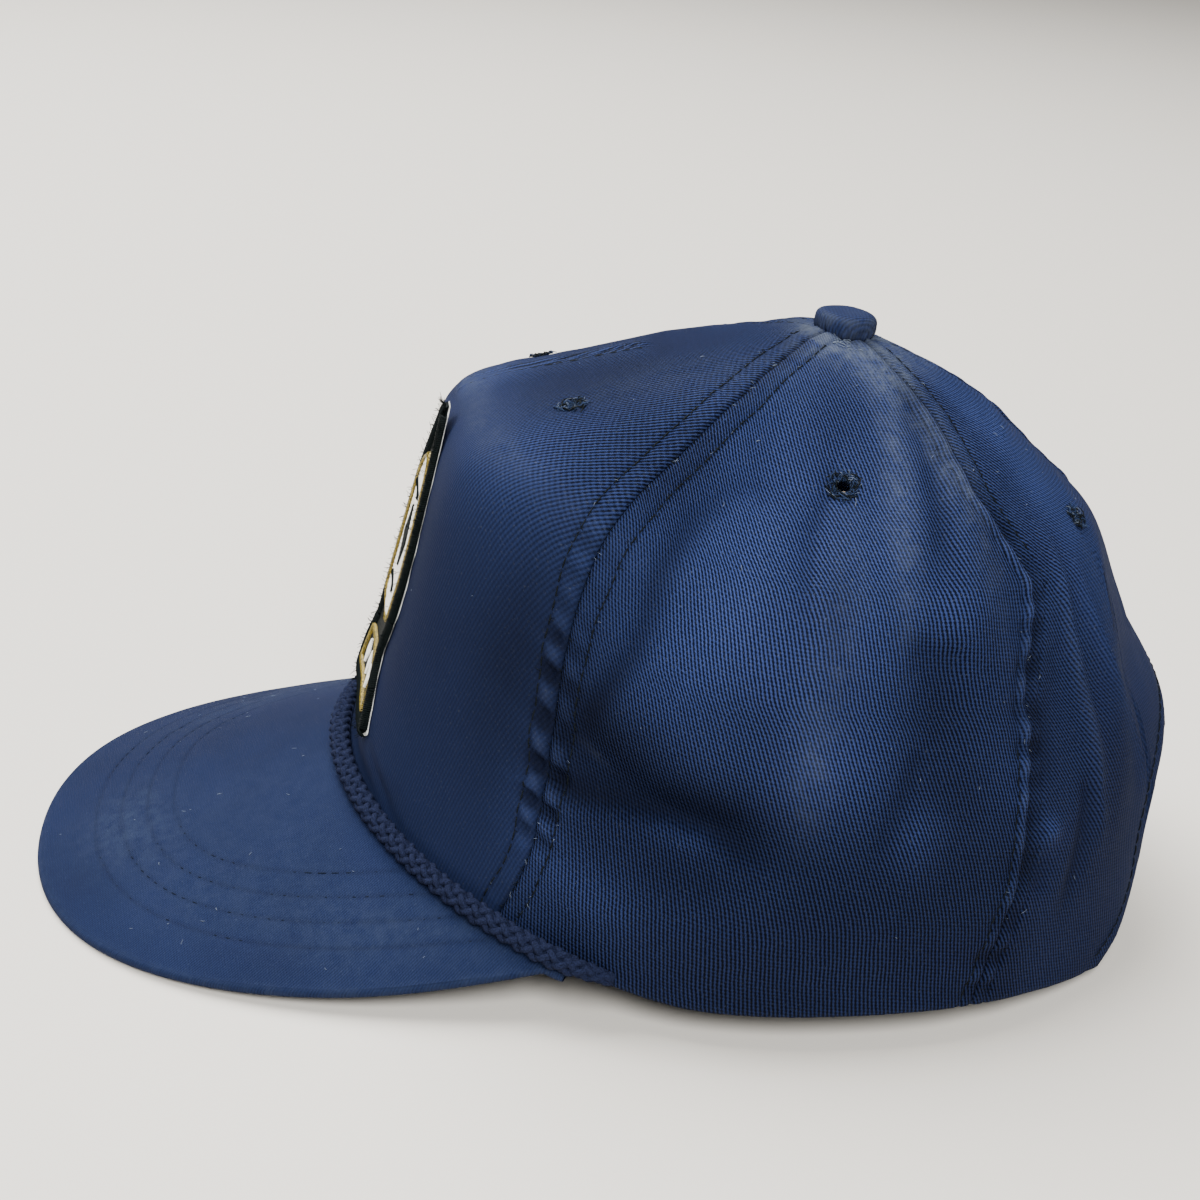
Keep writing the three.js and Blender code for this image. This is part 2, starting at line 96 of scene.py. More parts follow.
BRIM = {
    "length": 74.7, "tip_across": 84.5, "tip_along": -52.0,
    "round_front": 64.5, "round_side": 73.0, "side_turn": -6.0,
    "bend_radius": 126.0, "flatter": 0.54, "softer": -0.07, "tilt": 18.7,
    "thickness": 2.6, "reach": 54.0, "tip_from": 49.0, "tip_width": 1.2,
}
# The worn brim twists a little to the wearer's left, and the cloth ends short of the board's tips
BRIM_TWIST = 0.016
BRIM_CLOTH_REACH = 50.5
# The brim's stitch rows follow a wider outline of their own, and sit a little to the wearer's right
ROW_OUTLINE = {"length": 74.0, "tip_across": 89.7, "tip_along": -52.0, "round_front": 68.0,
               "round_side": 73.0, "side_turn": -6.0}
ROW_SHIFT = 1.9
ROW_INSETS = [13.4 + 6.3 * i for i in range(4)]
GROOVE = {"deep": 0.11, "half": 0.5}     # that a row presses into the brim
ROPE_RADIUS = 2.25
ROPE_REACH = 56.5
ROPE_UP = 0.018
# Millimetres: how far a strand runs for one turn, from the rope's middle line to a strand's, how
# far strands rise and dip there to pass over and under, their radius, and the tucked-in ends
BRAID = {"lay": 15.2, "strands": 4, "core": 1.38, "rise": 0.48, "radius": 0.80, "ends": 13.0}
BUTTON = {"radius": 6.95, "height": 5.6, "tilt": 4.0}
# The patch: its reach up the front, and its half width at heights over its foot
PATCH = {"low": 0.073, "high": 0.502}
PATCH_SHAPE = [(0.0, 19.6), (2.0, 20.4), (5.8, 19.0), (10.0, 17.0), (14.0, 14.0), (17.0, 12.4), (20.0, 12.8),
               (26.0, 15.0), (33.7, 15.6), (42.0, 14.8), (50.5, 12.9), (56.4, 10.6), (61.5, 8.0),
               (66.0, 5.2), (68.8, 3.5)]
PATCH_TALL = (PATCH["high"] - PATCH["low"]) * RISE
PATCH_STIFF = 54.0               # from here up it stands straight, off the cloth
ARCH = {"foot_half": 58.0, "foot_height": 4.0, "waist_half": 44.0, "waist_height": 22.0,
        "top": 55.0, "shoulder": 14.0}
ARCH_HEM = 3.6                   # from the arch opening's edge to its stitch row
STRAP = {"height": 20.0, "thickness": 1.6, "corner": (44.0, 64.0), "bow": 68.0,
         "hidden": (122.0, 127.0, 132.0), "touches": 0.13, "sag": 3.2, "flat_half": 14.0}

# Folds of the cloth: azimuth, way up, half length, half width, slope, depth (negative stands out)
FOLDS = [
    (61, 0.235, 24, 8, -8, 5.0), (48, 0.275, 12, 5, -12, 2.4), (66, 0.115, 26, 9, 0, -2.6),
    (64, 0.325, 22, 7, -14, -2.0), (79, 0.46, 30, 6, 86, -2.2), (102, 0.41, 20, 9, 84, 2.4),
    (111, 0.53, 24, 6, 80, -2.0), (131, 0.42, 22, 8, 80, 2.4), (146, 0.44, 26, 6, 70, -1.8),
    (-68, 0.24, 22, 9, 8, 3.2), (-82, 0.5, 28, 7, -84, -1.8), (-97, 0.42, 26, 9, -84, 2.2),
    (-140, 0.43, 24, 7, -76, -1.8),
]
# Smaller folds and creases, in the same columns
CREASES = [
    (62.6, 0.220, 8, 3.2, 0, -1.6), (51, 0.105, 11, 6.0, -10, -1.3), (62.9, 0.168, 8, 4.0, 0, 0.6),
    (97.2, 0.239, 7, 5.0, 70, -1.5), (121.9, 0.236, 3, 2.6, 0, -1.5), (107.6, 0.52, 10, 5.0, 60, -1.0),
    (84, 0.66, 14, 3.0, 88, -0.5), (103, 0.70, 14, 4.0, 84, -0.6), (66, 0.60, 22, 5.0, 84, -0.6),
    (28, 0.64, 22, 3.6, 60, -0.45), (22, 0.72, 18, 3.4, 66, 0.35), (33, 0.55, 16, 3.0, 70, 0.3),
    (8, 0.035, 16, 2.2, 0, 0.5), (17, 0.05, 9, 1.8, -28, 0.6),
    (-60, 0.3, 14, 3.2, 10, 0.9), (-75, 0.26, 12, 3.4, 22, -0.7), (-104, 0.55, 20, 3.4, -84, 0.7),
    (-121, 0.47, 10, 3.0, -80, 1.1), (-118, 0.32, 9, 3.0, -74, -0.8), (-150, 0.4, 22, 2.4, -84, -0.8),
    (-160, 0.44, 18, 3.0, -86, 0.6), (-52, 0.3, 8, 2.6, 6, 1.0), (-88, 0.7, 15, 3.0, -86, 0.5),
    (168, 0.46, 12, 2.6, 80, -0.5), (-170, 0.48, 12, 2.6, -78, 0.5),
]
# Long bent folds: their way through pairs of azimuth and way up, half widths on the left and
# on the right of that way, depth (negative stands out), and their painted shade (below 0, painted light)
PLEATS = [
    ([(42.5, 0.205), (46.0, 0.213), (52.2, 0.229), (58.0, 0.240), (64.5, 0.238), (70.0, 0.217),
      (76.2, 0.205)], 7.5, 2.4, 3.4, 0.6),
    ([(53.5, 0.66), (49.7, 0.60), (48.5, 0.524), (49.1, 0.452), (48.6, 0.41), (46.6, 0.35),
      (45.0, 0.30), (44.4, 0.26)], 3.0, 2.4, 1.7, 0.5),
    ([(78.5, 0.73), (77.0, 0.685), (74.5, 0.636), (74.5, 0.57), (75.8, 0.477)], 1.1, 2.6, 0.9, 0.3),
    ([(51.5, 0.79), (56.0, 0.73), (59.8, 0.678), (60.5, 0.64)], 4.5, 4.5, 1.1, 0.16),
    ([(119.0, 0.86), (114.8, 0.808), (113.6, 0.754), (110.2, 0.696), (107.4, 0.628), (107.0, 0.58)],
     2.6, 3.0, 1.4, 0.35),
    ([(99.0, 0.36), (96.2, 0.33), (92.5, 0.26), (89.8, 0.203)], 2.6, 2.6, 0.9, 0.3),
    ([(97.5, 0.50), (101.0, 0.487), (105.0, 0.480), (109.0, 0.47)], 2.0, 6.0, 1.2, 0.22),
    ([(137.0, 0.62), (136.3, 0.497), (135.3, 0.386), (133.5, 0.264), (134.5, 0.2)], 1.2, 1.8, -1.0, -0.2),
    ([(142.0, 0.56), (143.4, 0.433), (146.2, 0.312), (148.1, 0.224)], 1.2, 2.0, -0.8, -0.2),
    ([(131.6, 0.29), (131.1, 0.259), (127.8, 0.18), (124.5, 0.112)], 3.0, 2.4, 1.3, 0.35),
    ([(122.5, 0.54), (121.5, 0.46), (118.0, 0.40), (116.0, 0.30)], 2.4, 3.0, 0.7, 0.15),
    ([(124.0, 0.40), (122.8, 0.34), (121.8, 0.30)], 3.0, 2.0, 0.9, 0.3),
    ([(119.5, 0.20), (118.5, 0.15)], 3.0, 2.4, 0.8, 0.3),
]
# Painted shade (below 0) and painted light, darker and paler places of the crown, in the columns of the folds;
# both sides have them
PAINTED_LIGHT_AND_SHADE = [
    (51, 0.10, 12, 8, -10, 0.85), (62.6, 0.224, 8, 3.0, 0, 0.6), (62.9, 0.17, 9, 4, 0, -0.15),
    (97.2, 0.239, 8, 6, 70, 0.5), (121.9, 0.236, 3, 3, 0, 0.8), (103, 0.42, 10, 12, 10, -0.42),
    (82, 0.33, 12, 9, 85, 0.32), (104, 0.545, 9, 5, 0, 0.25), (60, 0.54, 32, 14, 78, 0.78),
    (89, 0.60, 22, 10, 84, 0.65), (49, 0.31, 12, 9, 0, -0.5), (52, 0.74, 16, 10, 70, 0.25),
    (139, 0.35, 40, 12, 88, -0.26), (124, 0.42, 30, 5, 80, -0.2), (20, 0.36, 40, 26, 0, -0.36),
    (14, 0.70, 40, 20, 0, -0.28), (34, 0.32, 34, 9, 88, -0.28), (66, 0.27, 10, 5, -6, -0.30),
    (102, 0.30, 13, 10, 0, -0.4), (72, 0.15, 20, 6, 0, -0.12), (31, 0.70, 34, 12, 72, 0.38),
    (140, 0.72, 24, 20, 80, 0.5), (64, 0.37, 12, 9, 0, -0.28), (80.5, 0.55, 16, 4, 88, -0.25),
    (72, 0.80, 14, 8, 80, -0.22), (116, 0.46, 14, 7, 85, -0.2),
]
# Dust and fading on the crown: azimuth, way up, half length, half width, slope, strength
DUST = [
    (70, 0.955, 12, 4, 0, 0.75), (100, 0.95, 14, 4, 0, 0.5), (135, 0.94, 12, 5, 0, 0.5),
    (55, 0.93, 10, 4, 60, 0.5), (110, 0.90, 14, 5, 80, 0.4), (99, 0.76, 22, 3, 82, 0.3),
    (98, 0.62, 22, 3, 84, 0.22), (78.8, 0.32, 14, 4.6, 89, 0.2), (81, 0.47, 16, 5, 86, 0.14),
    (84, 0.62, 18, 6, 84, 0.1), (47, 0.27, 4, 0.7, -20, 0.4), (119.5, 0.77, 30, 4, 86, 0.55),
    (145, 0.40, 26, 1.8, 82, 0.2), (135, 0.36, 24, 1.6, 88, 0.25), (20, 0.74, 30, 9, 60, 0.2),
    (-80, 0.94, 30, 5, 0, 0.6), (-75, 0.5, 20, 7, -86, 0.25), (-140, 0.5, 26, 5, -80, 0.25),
    (10, 0.52, 30, 4, 0, 0.2), (-12, 0.52, 26, 4, 0, 0.2), (150, 0.9, 20, 5, 0, 0.5),
    (77, 0.975, 9, 2.4, 0, 0.9),
]
# Eyelets by azimuth and way up, the radius of their holes and of the ring of thread
EYELETS = [
    {"panel": "front_panel", "azimuth": 15.8, "up": 0.627, "hole": 0.7, "ring": 2.2},
    {"panel": "front_panel", "azimuth": -21.0, "up": 0.60, "hole": 0.6, "ring": 1.5},
    {"panel": "side_panel_left", "azimuth": 81.0, "up": 0.708, "hole": 1.6, "ring": 2.6},
    {"panel": "side_panel_right", "azimuth": -81.0, "up": 0.708, "hole": 1.3, "ring": 2.5},
    {"panel": "back_panel_left", "azimuth": 152.0, "up": 0.608, "hole": 0.7, "ring": 1.7},
    {"panel": "back_panel_right", "azimuth": -152.0, "up": 0.608, "hole": 1.2, "ring": 2.4},
]
EYELET_DISH = {"deep": 0.45, "half": 3.2}    # the thread pulls the cloth in round each


def lerp(a, b, k):
    return a + (b - a) * k


def ease(x):
    k = np.clip(x, 0.0, 1.0)
    return k * k * (3.0 - 2.0 * k)


def bell(x):
    return np.exp(-np.square(x))


def unit(ways):
    return ways / np.linalg.norm(ways, axis=-1, keepdims=True)


# The brim's and the crown's surfaces, as in the solids

def oval_radius(azimuth, oval):
    """Distance from the axis to an oval along azimuths in radians; 0 is the front."""
    middle = (oval["front"] + oval["back"]) / 2
    half_length = (oval["back"] - oval["front"]) / 2
    near, far = np.zeros_like(azimuth), np.full_like(azimuth, 300.0)
    for _ in range(40):
        r = (near + far) / 2
        across = np.abs(r * np.sin(azimuth) / oval["half"]) ** oval["power"]
        along = np.abs((-r * np.cos(azimuth) - middle) / half_length) ** oval["power"]
        inside = across + along < 1
        near, far = np.where(inside, r, near), np.where(inside, far, r)
    return near


TILT_COS = math.cos(math.radians(BRIM["tilt"]))
TILT_SIN = math.sin(math.radians(BRIM["tilt"]))


def brim_drop(x, out):
    bend = (1 - BRIM["flatter"] * out / 70) / BRIM["bend_radius"]
    return 0.5 * bend * x * x * (1 + BRIM["softer"] * (x / 80) ** 2)


def brim_shape(x, y):
    """Height of the brim's middle surface over a plan position, from the middle of the seam."""
    first_out = (RIM_OVAL["front"] - y) / TILT_COS
    drop = brim_drop(x, first_out)
    out = (RIM_OVAL["front"] + drop * TILT_SIN - y) / TILT_COS
    return -out * TILT_SIN - drop * TILT_COS


def brim_normal(x, y):
    slope_x = brim_shape(x + 0.5, y) - brim_shape(x - 0.5, y)
    slope_y = brim_shape(x, y + 0.5) - brim_shape(x, y - 0.5)
    return unit(np.stack([-slope_x, -slope_y, np.ones_like(slope_x)], axis=-1))


def bent_plan(across, out):
    """Plan position of a point of the flat pattern, across from the middle and out from the seam."""
    bend = (1 - BRIM["flatter"] * out / 70) / BRIM["bend_radius"]
    x = across * (1 - (bend * across) ** 2 / 6)
    return x, RIM_OVAL["front"] - out * TILT_COS + brim_drop(x, out) * TILT_SIN


def flat_outline(t, length, tip_across, tip_along, round_front, round_side, side_turn):
    """The brim's flat outline from the middle of its front, at t 0, to a tip, at t 1."""
    turn = math.radians(side_turn)
    corners = np.array([
        (0.0, length),
        (round_front, length),
        (tip_across + round_side * math.sin(turn), tip_along + round_side * math.cos(turn)),
        (tip_across, tip_along),
    ])
    t = np.asarray(t)[..., None]
    weights = [(1 - t) ** 3, 3 * t * (1 - t) ** 2, 3 * t * t * (1 - t), t ** 3]
    return sum(weight * corner for weight, corner in zip(weights, corners))


def brim_edge(k):
    """Plan position of the brim's edge, k 0 in the middle to 1 or -1 at the tips."""
    flat = flat_outline(np.abs(k), **{key: BRIM[key] for key in ROW_OUTLINE})
    x, y = bent_plan(np.sign(k) * flat[..., 0], flat[..., 1])
    azimuth = np.arctan2(x, -y)
    narrowed = ease((np.abs(np.degrees(azimuth)) - BRIM["tip_from"]) / (BRIM["reach"] - BRIM["tip_from"]))
    least = oval_radius(azimuth, RIM_OVAL) + 0.3 + lerp(ROPE_RADIUS, BRIM["tip_width"], narrowed)
    length = np.hypot(x, y)
    longer = np.maximum(length, least) / length
    return x * longer, y * longer


edge_x, edge_y = brim_edge(np.linspace(0, 1, 101))
SEAM_HEIGHT = float(-np.min(
    brim_shape(edge_x, edge_y) - BRIM["thickness"] / 2 / brim_normal(edge_x, edge_y)[:, 2]))
# The axis through the button, in the frame
AXIS_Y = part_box("brim")[0].y / MM - float(edge_y.min())

TURNS = np.arange(-180.0, 180.01, 0.5)
UPS = np.linspace(0.0, 1.0, 281)


def blend_back(azimuth, value):
    return lerp(value["side"], value["back"], np.minimum(0.0, np.cos(azimuth)) ** 2)


def rim_height(azimuth):
    away = np.abs(np.degrees(azimuth))
    r = oval_radius(azimuth, RIM_OVAL)
    on_brim = SEAM_HEIGHT + brim_shape(r * np.sin(azimuth), -r * np.cos(azimuth))
    free = lerp(RIM_RISE["back"], RIM_RISE["side"], ease((155 - away) / 60))
    return lerp(on_brim, free, ease((away - BRIM["reach"] - 2) / 28))


def meridians(azimuth, stiff):
    """Radius and height at each of UPS, for lines from rim to top at the azimuths."""
    rim_r, rim_z = oval_radius(azimuth, RIM_OVAL), rim_height(azimuth)
    shoulder_r = oval_radius(azimuth, SHOULDER_OVAL)
    if stiff:
        shoulder_z = np.full_like(azimuth, SHOULDER_HEIGHT["front"])
        power = np.full_like(azimuth, 2 / SQUARENESS["front"])
    else:
        shoulder_z = blend_back(azimuth, SHOULDER_HEIGHT)
        power = 2 / blend_back(azimuth, SQUARENESS)
    turned = (1 + np.cos(np.pi * np.arange(241) / 240)) / 2 * np.pi / 2
    out = np.sin(turned)[None, :] ** power[:, None]
    down = 1 - np.clip(np.cos(turned), 0, 1)[None, :] ** power[:, None]
    r = shoulder_r[:, None] * out + (rim_r - shoulder_r)[:, None] * down
    z = TOP_HEIGHT + (shoulder_z - TOP_HEIGHT)[:, None] * out + (rim_z - shoulder_z)[:, None] * down
    steps = np.hypot(np.diff(r, axis=1, prepend=r[:, :1]), np.diff(z, axis=1, prepend=z[:, :1]))
    length = np.cumsum(steps, axis=1)
    at = [np.interp(UPS * run[-1], run, [row_r, row_z][part])
          for part in (0, 1) for run, row_r, row_z in zip(length, r, z)]
    return np.array(at[:len(azimuth)]), np.array(at[len(azimuth):])


def crown_tables():
    """Radius, place and outward normal of the smooth crown at every TURNS and UPS."""
    azimuth = np.radians(TURNS)
    soft_r, soft_z = meridians(azimuth, False)
    stiff_r, stiff_z = meridians(azimuth, True)
    stiffness = ease((STIFF_FRONT["gone"] - np.abs(TURNS)) / (STIFF_FRONT["gone"] - STIFF_FRONT["full"]))
    r = lerp(soft_r, stiff_r, stiffness[:, None])
    z = lerp(soft_z, stiff_z, stiffness[:, None])
    behind = np.maximum(0.0, -np.cos(azimuth))[:, None] ** 4
    flare = BACK_FLARE["out"] * behind * bell((UPS - BACK_FLARE["at"]) / BACK_FLARE["spread"])
    outward = np.minimum(1.0, r / oval_radius(azimuth, SHOULDER_OVAL)[:, None])
    across = np.abs(azimuth[:, None] * r)
    in_front = (np.abs(TURNS) < FRONT_HALF)[:, None]
    flat = PATCH_FLAT["out"] * ease(across / PATCH_FLAT["full"]) \
        * ease((PATCH_FLAT["gone"] - across) / PATCH_FLAT["fade"]) * in_front
    flat = flat * ease(UPS / PATCH_FLAT["foot"]) * ease((PATCH_FLAT["top"] - UPS) / PATCH_FLAT["top_fade"])
    lift = np.interp(outward, *zip(*TOP_LIFT)) * ease((UPS - LIFTED["low"]) / LIFTED["over"])
    forward = ease((LIFTED["behind"] - np.abs(TURNS)) / LIFTED["turning"])
    held_up = ease((UNDER_BUTTON["out"] - outward) / UNDER_BUTTON["over"])
    swell = lift * forward[:, None] + UNDER_BUTTON["up"] * held_up
    pressed = sum(deep * bell((azimuth[:, None] * r - at) / half) for at, half, deep in PATCH_PRESSED)
    middle_up, spread_up = PRESSED_UP
    wide = r + flare + flat - pressed * bell((UPS - middle_up) / spread_up) * in_front
    place = np.stack([wide * np.sin(azimuth)[:, None], -wide * np.cos(azimuth)[:, None], z + swell], axis=-1)
    round_way = np.gradient(place, axis=0)
    round_way[0] = round_way[-1] = place[1] - place[-2]
    normal = np.cross(round_way, np.gradient(place, axis=1))
    normal /= np.maximum(np.linalg.norm(normal, axis=-1, keepdims=True), 1e-9)
    return r, place + np.array([0.0, AXIS_Y, 0.0]), normal


RADIUS, PLACE, NORMAL = crown_tables()


def smooth_line(points):
    """A line through pairs of way up and azimuth, read at UPS, with its corners eased."""
    raw = np.interp(UPS, *zip(*points))
    weights = bell(np.linspace(-2, 2, 9))
    return np.convolve(np.pad(raw, 4, mode="edge"), weights / weights.sum(), mode="valid")


FRONT_SEAM = smooth_line(FRONT_SEAM_POINTS)
BACK_SEAM = smooth_line(BACK_SEAM_POINTS)
CENTRE_BACK = np.full(len(UPS), 180.0)
# The stitched dart in the top of the front, which sits a little to the wearer's right
DART = smooth_line([(0.0, -9.0), (0.62, -10.5), (0.70, -9.0), (0.76, -6.0), (1.0, -3.0)])


def read_off(table, azimuth, up):
    """A table's value at azimuths in degrees and ways up, between its own."""
    a = (np.asarray(azimuth, float) + 180) / (TURNS[1] - TURNS[0])
    b = np.asarray(up, float) * (len(UPS) - 1)
    i = np.clip(np.floor(a).astype(int), 0, len(TURNS) - 2)
    j = np.clip(np.floor(b).astype(int), 0, len(UPS) - 2)
    fa, fb = a - i, b - j
    if table.ndim == 3:
        fa, fb = fa[..., None], fb[..., None]
    low = lerp(table[i, j], table[i + 1, j], fa)
    high = lerp(table[i, j + 1], table[i + 1, j + 1], fa)
    return lerp(low, high, fb)


def seam_azimuth(line, up):
    return np.interp(up, UPS, line)


def marks(table, azimuth, up):
    """The sum of long soft marks, such as folds, at places on the crown."""
    r = read_off(RADIUS, azimuth, up)
    total = np.zeros_like(r)
    for at, high, long, wide, slope, depth in table:
        across = np.radians(azimuth - at) * r
        along = (up - high) * RISE
        turn = math.radians(slope)
        a = (across * math.cos(turn) + along * math.sin(turn)) / long
        b = (-across * math.sin(turn) + along * math.cos(turn)) / wide
        total += depth * bell(a) * bell(b)
    return total


def rumple(x, y, size, seed):
    """Smooth unevenness between about -1 and 1, with lumps of a size."""
    dice = random.Random(seed)
    total = np.zeros_like(x)
    for _ in range(7):
        way, stretch, start = dice.uniform(0, math.tau), dice.uniform(0.7, 1.5), dice.uniform(0, math.tau)
        total += np.sin((x * math.cos(way) + y * math.sin(way)) * stretch * math.tau / size / 2 + start)
    return total / 3.5


# How the sewing shapes the cloth beside each seam: how deep the puckers are and how deep they stay
# where they have faded, the ways up between which they fade and begin, their share behind the
# seam, their spacing, and how far its two stitch rows lie from it, before and behind
SEAMS = [
    {"line": FRONT_SEAM, "pucker": 1.6, "rest": 0.12, "fade": (0.33, 0.58), "foot": (0.09, 0.15),
     "behind": 0.42, "pitch": 7.0, "rows": (4.4, 4.1), "seed": 1.0},
    {"line": BACK_SEAM, "pucker": 0.6, "rest": 0.12, "fade": (0.58, 0.66), "foot": (0.0, 0.05),
     "behind": 0.8, "pitch": 8.6, "rows": (3.4, 3.4), "seed": 2.3},
    {"line": CENTRE_BACK, "pucker": 0.25, "rest": 0.12, "fade": (0.5, 0.7), "foot": (0.0, 0.05),
     "behind": 1.0, "pitch": 7.4, "rows": (3.4, 3.4), "seed": 4.1},
]
RIGHT_PHASE = 1.7                # the right side's puckers begin elsewhere than the left's
PUCKER = {"away": 2.2, "half": 1.9, "valley": 0.95, "ridge": 0.55, "tail": 0.22, "tail_long": 5.5}
SEAM_LINE = {"deep": 0.62, "half": 0.6, "power": 1.6}
ROW_PRESS = {"deep": 0.30, "half": 0.6}  # that a stitch row makes in the crown
# The dart: between which ways up it is sewn, and its stitch rows' place
DART_UP = (0.49, 0.76)
DART_ROWS = 2.4


def seam_distance(seam, azimuth, up):
    """Millimetres from a seam, positive behind it; the nearer one of the two sides'."""
    return np.radians(np.abs(azimuth) - seam_azimuth(seam["line"], up)) * read_off(RADIUS, azimuth, up)


def sewing_depth(azimuth, up):
    """How far the sewing of the seams and of the front's dart pulls the cloth in."""
    total = np.zeros_like(np.asarray(azimuth, float))
    along = up * RISE
    for seam in SEAMS:
        away = seam_distance(seam, azimuth, up)
        a = np.abs(away)
        side = np.where(azimuth < 0, RIGHT_PHASE, 0.0)
        (low, full), (fades, gone) = seam["foot"], seam["fade"]
        fade = ease((gone - up) / (gone - fades)) * ease((up - low) / (full - low))
        strength = seam["rest"] + (seam["pucker"] - seam["rest"]) * fade
        strength = strength * np.where(away > 0, lerp(1.0, seam["behind"], ease((up - 0.2) / 0.12)), 1.0)
        # No two puckers are alike: their spacing drifts, and some are strong and some weak
        phase = along / seam["pitch"] + 0.35 * np.sin(along / 21 + seam["seed"] + side) \
            + 0.16 * np.sin(along / 6.3 + 2 * seam["seed"] + side) + side + away / 70
        puff = ease(0.5 + 0.62 * np.cos(math.tau * phase))
        strength = strength * (0.72 + 0.28 * np.sin(along / 9 + 3 * seam["seed"] + side)
                               + 0.2 * np.sin(along / 4.1 + side))
        between = bell((a - PUCKER["away"]) / PUCKER["half"])
        total += strength * between * ((1 - puff) * PUCKER["valley"] - puff * PUCKER["ridge"])
        total += PUCKER["tail"] * strength * (1 - puff) * np.exp(-a / PUCKER["tail_long"])
        total += SEAM_LINE["deep"] * np.exp(-(a / SEAM_LINE["half"]) ** SEAM_LINE["power"])
        row = np.where(away > 0, seam["rows"][1], seam["rows"][0])
        total += ROW_PRESS["deep"] * bell((a - row) / ROW_PRESS["half"])
        if seam["line"] is BACK_SEAM:
            # The back seam's allowance shows through as a wavy ridge before it, over a hollow behind
            wave = 0.5 + 0.5 * np.sin(along / 3.6 + 1.2 + side + 0.8 * np.sin(along / 9))
            reach = ease((0.76 - up) / 0.12) * ease((up - 0.08) / 0.1)
            total += reach * (-0.75 * bell((away + 1.9) / 1.3) * (0.7 + 0.3 * wave)
                              + 1.0 * bell((away - 1.3) / 1.4) * (0.55 + 0.45 * (1 - wave)))
    dart = np.abs(np.radians(azimuth - seam_azimuth(DART, up)) * read_off(RADIUS, azimuth, up))
    held = ease((up - DART_UP[0]) / 0.01) * ease((DART_UP[1] - up) / 0.03)
    total += held * (0.7 * np.exp(-(dart / 0.7) ** 1.6) + 0.2 * bell((dart - DART_ROWS) / 0.6)
                     - 0.25 * bell((dart - 1.3) / 0.8) - 0.9 * bell(dart / 7))
    return total


def pleats(azimuth, up):
    """How deep the long bent folds are at places on the crown, and how much painted shade darkens them."""
    azimuth, up = np.asarray(azimuth, float), np.asarray(up, float)
    r = read_off(RADIUS, azimuth, up)
    depth, dark = np.zeros_like(r), np.zeros_like(r)
    for points, left, right, deep, fold_shading in PLEATS:
        nearest, side, run = np.full_like(r, 1e3), np.zeros_like(r), np.zeros_like(r)
        for i, ((a0, u0), (a1, u1)) in enumerate(zip(points, points[1:])):
            way_x, way_y = np.radians(a1 - a0) * r, (u1 - u0) * RISE
            x, y = np.radians(azimuth - a0) * r, (up - u0) * RISE
            t = np.clip((x * way_x + y * way_y) / (way_x ** 2 + way_y ** 2), 0, 1)
            x, y = x - t * way_x, y - t * way_y
            away = np.hypot(x, y)
            side = np.where(away < nearest, way_x * y - way_y * x, side)
            run = np.where(away < nearest, (i + t) / (len(points) - 1), run)
            nearest = np.minimum(nearest, away)
        shape = bell(nearest / np.where(side > 0, left, right)) * ease(0.4 + run * 3) * ease(0.3 + (1 - run) * 2.5)
        depth += deep * shape
        dark += fold_shading * shape
    return depth, dark


def cloth_depth(azimuth, up):
    """How far the crown's face lies inside the smooth crown, with all folds and puckers."""
    azimuth, up = np.asarray(azimuth, float), np.asarray(up, float)
    r = read_off(RADIUS, azimuth, up)
    x, y = np.radians(azimuth) * np.maximum(r, 30.0), up * RISE
    soft = ease((np.abs(azimuth) - 20) / 40)         # the stiff front rumples less
    depth = marks(FOLDS, azimuth, up) + marks(CREASES, azimuth, up) + sewing_depth(azimuth, up) \
        + pleats(azimuth, up)[0]
    depth -= marks(BACK_FULL, np.abs(azimuth), up)
    depth += rumple(x, y, 34.0, 5) * lerp(0.10, 0.45, soft) + rumple(x, y, 11.0, 9) * lerp(0.04, 0.14, soft)
    for eyelet in EYELETS:
        across = np.radians(azimuth - eyelet["azimuth"]) * r
        away = np.hypot(across, (up - eyelet["up"]) * RISE)
        depth += EYELET_DISH["deep"] * bell(away / EYELET_DISH["half"])
    return depth


def on_crown(azimuth, up, lift=0.0):
    """Places `lift` outside the crown's face, in the frame."""
    depth = cloth_depth(azimuth, up) - lift
    return read_off(PLACE, azimuth, up) - read_off(NORMAL, azimuth, up) * depth[..., None]


# Materials

def linear(code):
    """A colour for a shader from its sRGB hex code."""
    parts = [int(code[i:i + 2], 16) / 255 for i in (1, 3, 5)]
    return tuple(c / 12.92 if c <= 0.04045 else ((c + 0.055) / 1.055) ** 2.4 for c in parts) + (1.0,)


def add(tree, kind, inputs=None, **settings):
    """Adds a node with its settings; an input is a value or another node's output."""
    made = tree.nodes.new(kind)
    for key, value in settings.items():
        setattr(made, key, value)
    for socket, value in (inputs or {}).items():
        if isinstance(value, bpy.types.NodeSocket):
            tree.links.new(value, made.inputs[socket])
        else:
            made.inputs[socket].default_value = value
    return made


def fresh(name):
    """A new material's tree and its surface shader."""
    material = bpy.data.materials.new(name)
    material.use_nodes = True
    tree = material.node_tree
    return material, tree, tree.nodes["Principled BSDF"]


def settle(shader, **values):
    for key, value in values.items():
        shader.inputs[key.replace("_", " ")].default_value = value


